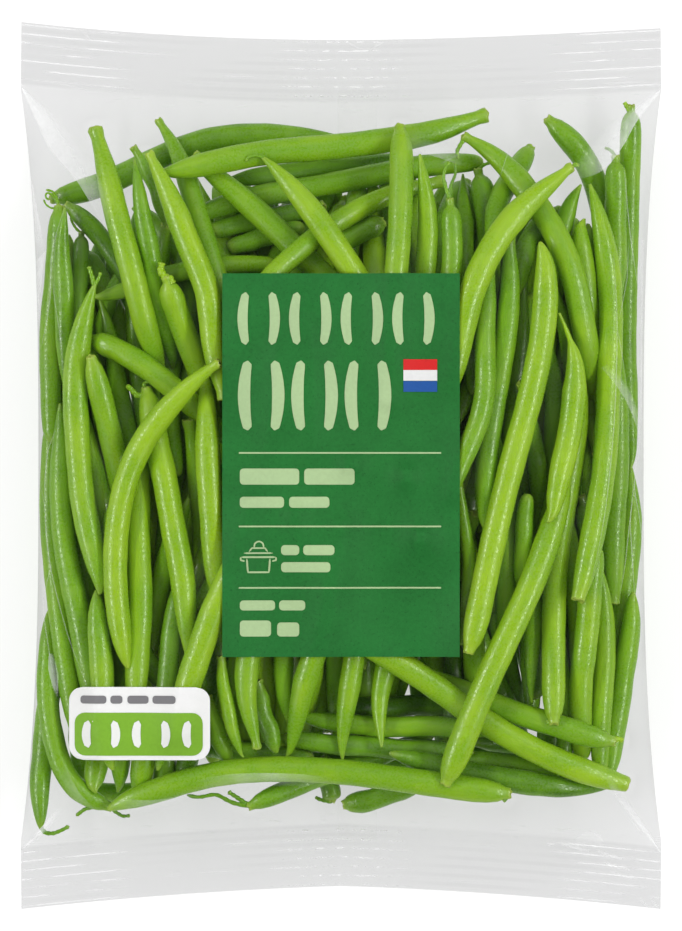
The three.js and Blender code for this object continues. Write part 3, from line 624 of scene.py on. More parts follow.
    def _extra_bean(self, source: SeededSource) -> tuple[Array, float]:
        """One more bean, which fills the dark gaps between the others.

        Args:
            source: the random source.

        Returns:
            Its coefficients and its radius.
        """
        fill, form = self.fill, self.form
        length = fill.extra_length * (0.7 + 0.5 * source.draw())
        x = (2 * source.draw() - 1) * (form.waist_half - 12)
        y = (2 * source.draw() - 1) * (form.fill_half - 22 - length / 2)
        spread = (source.draw() + source.draw() - 1) * 34
        angle = math.radians(spread + (0 if source.draw() < 0.5 else 180))
        z = 7 + 20 * source.draw()
        bow = (source.draw() - 0.5) * 18
        radius = fill.radius * (0.86 + 0.2 * source.draw())
        return self._bowed((x, y, z), length, angle, bow), radius

    def _film_push(self, p: Array, reach: Array, ease: Array) -> Array:
        """Moves that bring points back inside the bag, against the film's slope.

        Args:
            p: points, three coordinates last.
            reach: how far each must stay from the film.
            ease: how readily each point moves along each axis.

        Returns:
            A move for each point, zero where it is inside.
        """
        form = self.form
        x, y, z = p[..., 0], p[..., 1], p[..., 2]
        width = form.half_width(y)
        rise = np.where(z > form.middle, form.front_rise, form.back_drop)
        share = np.minimum(0.995, np.abs(y) / form.fill_half)
        along = (1 - share**form.along_power) ** form.along_root
        narrowing = form.along_root * form.along_power * share ** (form.along_power - 1)
        narrowing = narrowing / (1 - share**form.along_power) / form.fill_half
        u = np.abs(x) / width
        h = np.abs(z - form.middle) / (rise * along)
        root, power = form.across_root, form.across_power
        out = np.stack(
            [
                np.sign(x) * power * u ** (power - 1) / width,
                np.sign(y) * root * h**root * narrowing,
                np.sign(z - form.middle) * root * h ** (root - 1) / (rise * along),
            ],
            -1,
        )
        steep = np.linalg.norm(out, axis=-1) + 1e-9
        short = reach - (1 - u**power - h**root) / steep
        eased = ease * out
        push = -eased * (np.clip(short, 0, 2) * steep / (eased * out).sum(-1))[..., None]
        push[..., 0] -= np.sign(x) * np.maximum(0, np.abs(x) + reach - width)
        push[..., 1] -= np.sign(y) * np.maximum(0, np.abs(y) + reach - self._y_limit(x, y))
        push[..., 2] += np.maximum(0, reach - z)
        return push

    def _y_limit(self, x: Array, y: Array) -> Array:
        """How far along the bag each bean may reach: the fill less far, and less at the sides."""
        fill = np.where(y > 0, self.fill.top, self.fill.bottom)
        fill = fill - self.fill.narrowing * np.maximum(0, np.abs(x) - self.fill.shoulder)
        return np.where(np.arange(len(y)) < len(FRONT_ROWS), self.form.fill_half - 2, fill)

    def _near_pairs(self, line: Array, stops_half: Array) -> tuple[Array, ...]:
        """Segment pairs of different beans that could touch before the next look.

        Args:
            line: every bean's points along its centreline.
            stops_half: half of each bean's segment length.

        Returns:
            Bean, segment, other bean, other segment.
        """
        middle = (line[:, 1:] + line[:, :-1]) / 2
        count, segments = middle.shape[:2]
        flat = middle.reshape(-1, 3)
        owner = np.repeat(np.arange(count), segments)
        reach = np.repeat(self.radius + stops_half, segments) + self.skin / 2
        square = (flat**2).sum(1)
        away = square[:, None] + square[None] - 2 * flat @ flat.T
        limit = (reach[:, None] + reach[None]) ** 2
        near = away < limit
        plan, square = flat[:, :2], (flat[:, :2] ** 2).sum(1)
        front = owner < len(FRONT_ROWS)
        away = square[:, None] + square[None] - 2 * plan @ plan.T
        near |= front[:, None] & (away < self.crossing * limit)
        near &= owner[:, None] < owner[None]
        a, b = np.nonzero(near)
        return owner[a], a % segments, owner[b], b % segments

    @staticmethod
    def _closest(p1: Array, q1: Array, p2: Array, q2: Array) -> tuple[Array, ...]:
        """Where pairs of segments are closest.

        Args:
            p1: starts of the first segments.
            q1: their ends.
            p2: starts of the second segments.
            q2: their ends.

        Returns:
            The shares along each and the vectors between them.
        """
        d1, d2, r = q1 - p1, q2 - p2, p1 - p2
        a, e = (d1 * d1).sum(1), (d2 * d2).sum(1)
        b, c, f = (d1 * d2).sum(1), (d1 * r).sum(1), (d2 * r).sum(1)
        spread = a * e - b * b
        skew = np.clip((b * f - c * e) / np.maximum(spread, 1e-9), 0, 1)
        s = np.where(spread > 1e-4 * a * e, skew, 0.5)
        t = np.clip((b * s + f) / e, 0, 1)
        s = np.clip((b * t - c) / a, 0, 1)
        return s, t, r + s[:, None] * d1 - t[:, None] * d2

    def settle(self) -> None:
        """Pushes touching beans apart, in small batches so that later pushes see earlier ones."""
        yields = np.array([self.yield_flat, self.yield_flat, self.yield_lift]).T
        stops = np.linspace(-1, 1, self.segments + 1)
        basis = legendre(stops)
        home, length = self.curve.copy(), np.linalg.norm(self.curve[:, 1], axis=1)
        front = (self.ease[:, :1] < 1).astype(float)
        hard = np.maximum(self.ease, self.film_ease)
        rng = np.random.default_rng(5)
        size_at = girth((stops + 1) / 2)[None] * self.radius[:, None]
        bent = np.einsum("sj,njk->nsk", legendre(stops, 8)[:, 4:], self.bend)
        share = np.array([0.0, 0.0, 0.02, 0.02])[None, :, None] + np.zeros((len(front), 4, 3))
        share[:, :, :2] += 0.04 * front[:, :, None]
        pairs: tuple[Array, ...] = ()
        for step in range(self.steps):
            hold = 1 - step / self.steps
            if step % 10 == 0:
                pairs = self._near_pairs(self.lines(stops), length / self.segments)
                order = rng.permutation(len(pairs[0]))
                pairs = tuple(part[order] for part in pairs)
            for batch in range(self.batches):
                some = [part[batch :: self.batches] for part in pairs]
                self._press(some, stops, basis, bent, yields)
            self.curve += hold * share * (home - self.curve)
            now = np.linalg.norm(self.curve[:, 1], axis=1)
            self.curve[:, 1] *= (length / now)[:, None]
            for k, b in enumerate(basis):
                p = np.einsum("j,njk->nk", b, self.curve) + bent[:, k]
                push = self._film_push(p, size_at[:, k] + self.film_gap, hard)
                give = (yields * (b * b)[:, None]).sum(0)
                self.curve += (yields * b[:, None] / give)[None] * push[:, None, :]

    def _press(
        self, pairs: list[Array], stops: Array, basis: Array, bent: Array, yields: Array
    ) -> None:
        """Parts one batch of segment pairs, sharing a bean's moves among its contacts.

        Two beans that cross, of which one is in front and their levels differ, part up and
        down, the lower level on top: by the height that their widths leave at that offset.

        Args:
            pairs: bean, segment, other bean, other segment.
            stops: t at each segment's end.
            basis: the Legendre polynomials there.
            bent: what each bean's finer bends add there.
            yields: how readily each coefficient gives, along each axis.
        """
        i, m, j, n = pairs
        ends = [
            np.einsum("pj,pjk->pk", basis[index], self.curve[bean]) + bent[bean, index]
            for bean, index in ((i, m), (i, m + 1), (j, n), (j, n + 1))
        ]
        s, t, apart = self._closest(*ends)
        ti, tj = stops[m] + s * 2 / self.segments, stops[n] + t * 2 / self.segments
        away = np.linalg.norm(apart, axis=1) + 1e-9
        wide = girth((ti + 1) / 2) * self.radius[i] + girth((tj + 1) / 2) * self.radius[j]
        lack = wide + self.gap - away
        normal = apart / away[:, None]
        rank = self.level[j] - self.level[i]
        flat = np.linalg.norm(apart[:, :2], axis=1)
        crossing = np.where(np.abs(ends[0][:, 0]) < self.side, self.crossing, self.crossing_side)
        ranked = (np.abs(rank) > self.rank_step) & (flat < crossing * wide) & (i < len(FRONT_ROWS))
        over = np.sqrt(np.maximum(0, wide**2 - flat**2)) + self.gap - apart[:, 2] * np.sign(rank)
        lack = np.where(ranked, over, lack)
        normal[ranked] = np.sign(rank[ranked])[:, None] * np.array([0.0, 0.0, 1.0])
        hit = lack > 0
        if not hit.any():
            return
        i, j, lack, normal = i[hit], j[hit], np.minimum(lack[hit], 1.5), normal[hit]
        bi, bj = legendre(ti[hit]), legendre(tj[hit])
        square = normal**2
        ease_i, ease_j = self._against(i, j), self._against(j, i)
        give = (ease_i * square * (bi * bi @ yields)).sum(1)
        give = give + (ease_j * square * (bj * bj @ yields)).sum(1)
        count = np.bincount(np.concatenate([i, j]), minlength=len(self.radius))
        push = lack / give
        for bean, b, ease, sign in ((i, bi, ease_i, 1.0), (j, bj, ease_j, -1.0)):
            soft = sign * push / np.maximum(1.0, 0.6 * count[bean])
            move = (soft[:, None] * b)[:, :, None] * yields[None] * (ease * normal)[:, None, :]
            np.add.at(self.curve, bean, move)

    def _against(self, bean: Array, other: Array) -> Array:
        """How readily each bean gives to another: a front one hardly gives to the fill."""
        firm = (bean < len(FRONT_ROWS)) & (other >= len(FRONT_ROWS))
        return self.ease[bean] * np.where(firm, self.firm, 1.0)[:, None]


def scatter(layer: int, column: int, end: int) -> float:
    """A fixed scatter from 0 to 1 for a bean of the fill, by the fraction of a sine."""
    return (math.sin(layer * 12.99 + column * 78.23 + end * 3.7) * 43758.5) % 1.0


# ---- meshes
class Axis(Enum):
    """Which way a grid of faces looks."""

    UP = 1
    DOWN = -1


def grid_faces(rows: int, columns: int, wrap: bool = False, look: Axis = Axis.UP) -> Array:
    """Quads over a grid of vertices numbered row by row.

    Args:
        rows: vertices down the grid.
        columns: vertices across it.
        wrap: joins the last column to the first.
        look: which side the faces show.

    Returns:
        Four vertex numbers for each quad.
    """
    across = columns if wrap else columns - 1
    row, column = np.meshgrid(np.arange(rows - 1), np.arange(across), indexing="ij")
    a = row * columns + column
    b = row * columns + (column + 1) % columns
    quads = np.stack([a, b, b + columns, a + columns], -1).reshape(-1, 4)
    return quads if look is Axis.UP else quads[:, ::-1]


@dataclass
class MeshData:
    """Vertices in millimetres, faces, and what the materials read."""

    points: Array
    quads: Array
    caps: list[list[int]] = field(default_factory=list)
    values: dict[str, Array] = field(default_factory=dict)
    uv: Array | None = None

    def join(self, other: "MeshData") -> "MeshData":
        """This mesh and another as one; both carry the same values and uv."""
        start = len(self.points)
        uv = None if self.uv is None else np.concatenate([self.uv, other.uv])
        return MeshData(
            np.concatenate([self.points, other.points]),
            np.concatenate([self.quads, other.quads + start]),
            self.caps + [[v + start for v in cap] for cap in other.caps],
            {k: np.concatenate([v, other.values[k]]) for k, v in self.values.items()},
            uv,
        )

    def to_object(self, name: str, material: Material, smooth: bool = True) -> bpy.types.Object:
        """Makes the object in the scene.

        Args:
            name: the object's name.
            material: its only material.
            smooth: shades across the faces' edges.

        Returns:
            The new object, at the origin.
        """
        mesh = bpy.data.meshes.new(name)
        mesh.from_pydata(self.points * MM, [], self.quads.tolist() + self.caps)
        for key, value in self.values.items():
            layer = mesh.attributes.new(key, "FLOAT", "POINT")
            layer.data.foreach_set("value", np.ascontiguousarray(value, np.float32))
        if self.uv is not None:
            layer = mesh.uv_layers.new(name="UVMap")
            full = np.zeros((len(mesh.loops), 2), np.float32)
            full[: len(self.uv)] = self.uv
            layer.data.foreach_set("uv", full.ravel())
        mesh.polygons.foreach_set("use_smooth", np.full(len(mesh.polygons), smooth))
        mesh.materials.append(material)
        mesh.update()
        piece = bpy.data.objects.new(name, mesh)
        bpy.context.scene.collection.objects.link(piece)
        return piece


def sheet(grid: Array, z: Array, **values: Array) -> MeshData:
    """A strip of quads that face up, whichever way its grid runs.

    Args:
        grid: places, x and y last.
        z: their heights.
        **values: what the materials read at each vertex.

    Returns:
        The strip's mesh.
    """
    points = np.concatenate([grid, z[..., None]], axis=-1)
    turn = np.cross(points[0, -1] - points[0, 0], points[1, 0] - points[0, 0])[2]
    quads = grid_faces(*grid.shape[:2], look=Axis.UP if turn > 0 else Axis.DOWN)
    flat = {name: value.reshape(-1) for name, value in values.items()}
    return MeshData(points.reshape(-1, 3), quads, values=flat)


def joined(parts: list[MeshData]) -> MeshData:
    """Several meshes as one."""
    return functools.reduce(MeshData.join, parts)


# ---- material graphs
WHITE: Triple = (1.0, 1.0, 1.0)
Source = Socket | bpy.types.Node | float | tuple[float, ...]


class Graph:
    """Writes a material's or a group's nodes with few words."""

    def __init__(self, tree: NodeTree) -> None:
        """Starts writing in the tree of a material or a group."""
        self.tree = tree

    @classmethod
    def material(cls, name: str) -> tuple[Material, "Graph"]:
        """A new empty material and its graph."""
        material = bpy.data.materials.new(name)
        material.use_nodes = True
        material.node_tree.nodes.clear()
        return material, cls(material.node_tree)

    def add(
        self, kind: str, settings: dict[str, object] | None = None, **sockets: Source
    ) -> bpy.types.Node:
        """Adds a node.

        Args:
            kind: the node type without "ShaderNode".
            settings: the node's own settings.
            **sockets: input name, with _ for a space, or "in0" for a place, to a value or socket.

        Returns:
            The node.
        """
        node = self.tree.nodes.new("ShaderNode" + kind)
        for key, value in (settings or {}).items():
            setattr(node, key, value)
        for key, value in sockets.items():
            numbered = key.startswith("in") and key[2:].isdigit()
            self.feed(node.inputs[int(key[2:]) if numbered else key.replace("_", " ")], value)
        return node

    def feed(self, socket: Socket, value: Source) -> None:
        """Links a socket into another, or sets a constant.

        Args:
            socket: the socket to feed.
            value: a socket, a node, a number, or a colour of three numbers.
        """
        if isinstance(value, Socket):
            self.tree.links.new(value, socket)
        elif isinstance(value, bpy.types.Node):
            self.tree.links.new(value.outputs[0], socket)
        else:
            if isinstance(value, (tuple, list)) and len(value) == 3 and socket.type == "RGBA":
                value = (*value, 1.0)
            socket.default_value = value

    def math(self, operation: str, *values: Source, clamp: bool = False) -> Socket:
        """A Math node's result.

        Args:
            operation: what it works out.
            *values: its numbers, in order.
            clamp: keeps the result from 0 to 1.

        Returns:
            The result.
        """
        node = self.add("Math", {"operation": operation, "use_clamp": clamp})
        for k, value in enumerate(values):
            self.feed(node.inputs[k], value)
        return node.outputs[0]

    def times(self, value: Source, by: Source) -> Socket:
        """A product."""
        return self.math("MULTIPLY", value, by)

    def plus(self, value: Source, more: Source, clamp: bool = False) -> Socket:
        """A sum, kept from 0 to 1 if asked."""
        return self.math("ADD", value, more, clamp=clamp)

    def sway(self, value: Source, by: float) -> Socket:
        """A value from 0 to 1 made a swing about 0: (value - 0.5) * by."""
        return self.times(self.math("SUBTRACT", value, 0.5), by)

    def mix(self, share: Source, first: Source, second: Source) -> Socket:
        """A colour between the first and the second, by the share of the second."""
        node = self.add("Mix", {"data_type": "RGBA", "blend_type": "MIX"})
        self.feed(node.inputs[0], share)
        self.feed(node.inputs[6], first)
        self.feed(node.inputs[7], second)
        return node.outputs[2]

    def step(
        self, value: Source, low: float, high: float, to_low: float = 0.0, to_high: float = 1.0
    ) -> Socket:
        """A smooth ramp from to_low at low to to_high at high."""
        node = self.add("MapRange", {"interpolation_type": "SMOOTHSTEP"})
        for k, part in enumerate((value, low, high, to_low, to_high)):
            self.feed(node.inputs[k], part)
        return node.outputs[0]

    def noise(
        self, vector: Source, scale: float, detail: float = 2.0, roughness: float = 0.5
    ) -> Socket:
        """A noise texture's value."""
        node = self.add("TexNoise", Vector=vector, Scale=scale, Detail=detail, Roughness=roughness)
        return node.outputs["Fac"]

    def stretch(self, vector: Source, by: Triple) -> Socket:
        """A vector multiplied part by part."""
        node = self.add("VectorMath", {"operation": "MULTIPLY"})
        self.feed(node.inputs[0], vector)
        self.feed(node.inputs[1], by)
        return node.outputs[0]

    def attribute(self, name: str) -> Socket:
        """A value that the mesh carries."""
        return self.add("Attribute", {"attribute_name": name}).outputs["Fac"]

    def place(self) -> Socket:
        """Object coordinates, in metres."""
        return self.add("TexCoord").outputs["Object"]

    def bump(self, height: Source, strength: float, distance: float) -> Socket:
        """A bumped normal."""
        return self.add("Bump", Height=height, Strength=strength, Distance=distance).outputs[0]

    def surface(self, shader: Source) -> None:
        """Ends a material with its shader."""
        self.add("OutputMaterial", Surface=shader)


class Shared(Enum):
    """Effects that several finishes use: a noise's detail and roughness, and its ramp's ends."""

    MOTTLE = (3.0, 0.58, 0.25, 0.75)
    SPECKS = (1.0, 0.5, 0.60, 0.78)

    @functools.cached_property
    def group(self) -> NodeTree:
        """The effect's node group, built once."""
        tree = bpy.data.node_groups.new(self.name.lower(), "ShaderNodeTree")
        for name, side, kind in (
            ("Vector", "INPUT", "Vector"), ("Scale", "INPUT", "Float"), ("Value", "OUTPUT", "Float")
        ):
            tree.interface.new_socket(name, in_out=side, socket_type=f"NodeSocket{kind}")
        g = Graph(tree)
        inlet = tree.nodes.new("NodeGroupInput").outputs
        outlet = tree.nodes.new("NodeGroupOutput")
        detail, roughness, low, high = self.value
        noise = g.noise(inlet["Vector"], inlet["Scale"], detail, roughness)
        g.feed(outlet.inputs["Value"], g.step(noise, low, high))
        return tree

    def place(self, g: Graph, vector: Socket, scale: float) -> Socket:
        """Places the effect in a material.

        Args:
            g: the material's graph.
            vector: the coordinates it reads.
            scale: its scale there.

        Returns:
            Its value, from 0 to 1.
        """
        node = g.add("Group", {"node_tree": self.group}, Vector=vector, Scale=scale)
        return node.outputs["Value"]


@dataclass(frozen=True)
class BeanSkin:
    """Fresh green bean skin: deep to bright by each bean's tone, paler at cut ends."""

    deep: Triple = (0.050, 0.158, 0.008)
    middle: Triple = (0.200, 0.450, 0.010)
    bright: Triple = (0.385, 0.645, 0.010)
    cut: Triple = (0.50, 0.62, 0.10)
    bloom: Triple = (0.44, 0.60, 0.08)
    streaks: Triple = (5.0, 0.03, 1.0)
    streak_share: float = 0.55
    cloud_scale: float = 70.0
    cloud_share: float = 0.22
    speck_scale: float = 1300.0
    speck_share: float = 0.22
    seam_half: float = 0.022
    seam_share: float = 0.10
    ripples: Triple = (6.0, 0.35, 1.0)
    grain_scale: float = 1500.0
    dots: float = 1450.0
    dull: float = 0.54
    shiny: float = 0.26
    patchy: float = 0.12
    gloss: float = 0.46
    relief: float = 0.0003

    def build(self) -> Material:
        """The material: streaks, clouds and specks vary the tone's green, and it shines in dots."""
        material, g = Graph.material("bean_skin")
        tone, cut = g.attribute("tone"), g.attribute("cut")
        wrapped = g.add("UVMap").outputs[0]
        place = g.place()
        streak = g.noise(g.stretch(wrapped, self.streaks), 1.0, 2.0, 0.6)
        cloud = Shared.MOTTLE.place(g, place, self.cloud_scale)
        level = g.plus(tone, g.sway(streak, self.streak_share))
        level = g.plus(level, g.sway(cloud, self.cloud_share))
        low = g.mix(g.step(level, 0.0, 0.5), self.deep, self.middle)
        colour = g.mix(g.step(level, 0.4, 1.0), low, self.bright)
        specks = Shared.SPECKS.place(g, place, self.speck_scale)
        colour = g.mix(g.times(specks, self.speck_share), colour, self.bloom)
        turns = g.math("FRACT", g.add("SeparateXYZ", Vector=wrapped).outputs[0])
        seam = g.step(g.math("ABSOLUTE", g.math("SUBTRACT", turns, 0.5)), self.seam_half, 0.0)
        colour = g.mix(g.times(seam, self.seam_share), colour, self.bloom)
        colour = g.mix(cut, colour, self.cut)
        ripple = g.noise(g.stretch(wrapped, self.ripples), 1.0, 1.0)
        grain = g.noise(place, self.grain_scale, 1.0)
        height = g.plus(g.times(grain, 0.24), g.times(ripple, 0.16))
        height = g.plus(height, g.times(seam, 0.08))
        normal = g.bump(height, 1.0, self.relief)
        dots = g.noise(place, self.dots, 0.0)
        shine = {"From_Min": 0.40, "From_Max": 0.60, "To_Min": self.dull, "To_Max": self.shiny}
        rough = g.plus(g.add("MapRange", Value=dots, **shine), g.sway(cloud, self.patchy))
        shader = g.add("BsdfPrincipled", Base_Color=colour, Roughness=rough, Normal=normal)
        shader.inputs["Specular IOR Level"].default_value = self.gloss
        g.surface(shader)
        return material


@dataclass(frozen=True)
class ClearFilm:
    """Thin clear film: it lets the view through, greys it a little, and shines.

    The mesh carries "band", how far each vertex lies inside the cut end, in millimetres.
    """

    tint: Triple = (0.886, 0.886, 0.888)
    shade: Triple = (0.835, 0.835, 0.837)
    seal: Triple = (0.852, 0.852, 0.854)
    steep: Triple = (0.80, 0.80, 0.80)
    # white of the film's real haze and of its painted highlights
    haze_and_highlight: Triple = (0.93, 0.935, 0.935)
    roughness: float = 0.30
    pitch: float = 2.75
    seal_band: tuple[float, float] = (19.5, 18.0)
    # White shares below: the film's real haze, real haze plus painted sheen at the edges, and
    # painted highlights on crests and crinkles.
    least_milk: float = 0.003
    edge_milk_and_sheen: float = 0.10
    crest_highlight_share: float = 0.6
    pucker_highlight_share: float = 0.22
    least_shine: float = 0.001
    edge_shine: float = 0.03
    relief: float = 0.0004

    def _crest_highlights(self, g: Graph, place: Source, hair: Source) -> Socket:
        """Painted highlights as white dashes on the ribs' crests: broad ones near the sides, flecks
        in the middle.

        Args:
            g: the material's graph.
            place: Object coordinates.
            hair: 1 on a rib's crest.

        Returns:
            How white each place is.
        """
        across = g.math("ABSOLUTE", g.add("SeparateXYZ", Vector=place).outputs[0])
        wide = g.noise(g.stretch(place, (40.0, 230.0, 1.0)), 1.0, 2.0)
        flecks = g.noise(g.stretch(place, (420.0, 900.0, 1.0)), 1.0, 2.0)
        sides, centre = g.step(across, 0.062, 0.074), g.step(across, 0.024, 0.006)
        dashes = g.times(sides, g.step(wide, 0.40, 0.52))
        dashes = g.plus(dashes, g.times(centre, g.step(flecks, 0.48, 0.62)))
        dashes = g.plus(dashes, g.step(wide, 0.60, 0.74, 0.0, 0.4), clamp=True)
        return g.times(dashes, hair)

    def build(self) -> Material:
        """The material: clear, with crimp ribs in the seals, painted highlights as white streaks on
        some crests and crinkles, and painted shade in some rib troughs.
        """
        material, g = Graph.material("clear_film")
        facing = g.add("LayerWeight", Blend=0.25).outputs["Facing"]
        band, place = g.attribute("band"), g.place()
        crimp = g.step(band, *self.seal_band)
        ribs = g.math("SINE", g.times(band, 2 * math.pi / self.pitch))
        # painted highlights: white dashes on the seal ribs' crests
        streaks = g.times(self._crest_highlights(g, place, g.step(ribs, 0.80, 0.99)), crimp)
        # painted shade: the seal's tint darkens in rib troughs, in patches that come and go
        come = g.step(g.noise(g.stretch(place, (22.0, 60.0, 1.0)), 1.0, 1.0), 0.38, 0.66)
        trough_shade = g.times(g.step(ribs, 0.3, -0.9), g.times(come, crimp))
        # painted highlights: white crinkles along the seals' inner rims
        rim = g.times(g.step(band, 16.5, 18.5), g.step(band, 23.5, 20.5))
        pucker_highlight = g.noise(g.stretch(place, (110.0, 900.0, 1.0)), 1.0, 2.0)
        pucker_highlight = g.times(g.step(pucker_highlight, 0.60, 0.80), rim)
        fine = g.times(g.noise(place, 120.0, 1.0, 0.5), 0.12)
        height = g.plus(g.times(ribs, g.times(crimp, 0.5)), fine)
        normal = g.bump(height, 0.3, self.relief)
        clear = g.mix(g.step(facing, 0.03, 0.6), self.tint, self.steep)
        tint = g.mix(trough_shade, g.mix(crimp, clear, self.seal), self.shade)
        through = g.add("BsdfTransparent", Color=tint)
        # white diffuse: the film's real haze, plus painted highlights and painted sheen
        milk_and_highlight = g.add("BsdfDiffuse", Color=self.haze_and_highlight)
        # partly real haze, partly painted sheen: whiter where the film is seen edge-on
        share = g.times(g.math("POWER", facing, 3.0), self.edge_milk_and_sheen)
        share = g.plus(self.least_milk, share)
        share = g.plus(share, g.times(streaks, self.crest_highlight_share))
        share = g.plus(share, g.times(pucker_highlight, self.pucker_highlight_share), clamp=True)
        body = g.add("MixShader", in0=share, in1=through, in2=milk_and_highlight)
        gloss = g.add("BsdfGlossy", Color=WHITE, Roughness=self.roughness, Normal=normal)
        shine = g.times(g.math("POWER", facing, 4.0), self.edge_shine)
        shine = g.plus(self.least_shine, shine)
        g.surface(g.add("MixShader", in0=shine, in1=body, in2=gloss))
        return material


@dataclass(frozen=True)
class FilmMilkAndGlint:
    """A white diffuse veil: painted highlights where the stretched film catches the light,
    strongest at one edge, and the back seam's real milk.
    """

    colour: Triple = (0.93, 0.935, 0.935)

    def build(self) -> Material:
        """The material: clear, turning white by the share that the mesh carries: painted highlight
        on the glints, real milk on the seam and vents.
        """
        material, g = Graph.material("film_milk_and_glint")
        veil = g.attribute("veil")
        cloud = Shared.MOTTLE.place(g, g.place(), 180.0)
        cloudy = g.plus(0.75, g.times(cloud, 0.4))
        share = g.math("MULTIPLY", veil, cloudy, clamp=True)
        through = g.add("BsdfTransparent", Color=WHITE)
        # white diffuse: painted highlight where it lies on the glints; real milk on the back seam
        # and the vent rims
        white = g.add("BsdfDiffuse", Color=self.colour)
        g.surface(g.add("MixShader", in0=share, in1=through, in2=white))
        return material


@dataclass(frozen=True)
class Printed:
    """Printed paper or film: a colour mottled by its fibres and specks of bare paper."""

    name: str
    colour: Triple
    roughness: float = 0.6
    mottle: float = 0.1
    wear: float = 0.0
    gloss: float = 0.12
    relief: float = 0.0003

    def build(self) -> Material:
        """The material: one colour, lightened and darkened by clouds and fibres."""
        material, g = Graph.material(self.name)
        place = g.place()
        cloud = Shared.MOTTLE.place(g, place, 45.0)
        fibre = Shared.MOTTLE.place(g, place, 900.0)
        specks = Shared.SPECKS.place(g, place, 1500.0)
        level = g.plus(g.times(cloud, 0.55), g.times(fibre, 0.45))
        dark = tuple(c * (1 - self.mottle) for c in self.colour)
        light = tuple(min(1.0, c * (1 + self.mottle)) for c in self.colour)
        colour = g.mix(level, dark, light)
        worn = tuple(c * 0.45 for c in self.colour)
        colour = g.mix(g.times(specks, self.wear), colour, worn)
        normal = g.bump(g.plus(cloud, g.times(fibre, 0.3)), 0.25, self.relief)
        shader = g.add("BsdfPrincipled", Base_Color=colour, Roughness=self.roughness, Normal=normal)
        shader.inputs["Specular IOR Level"].default_value = self.gloss
        g.surface(shader)
        return material


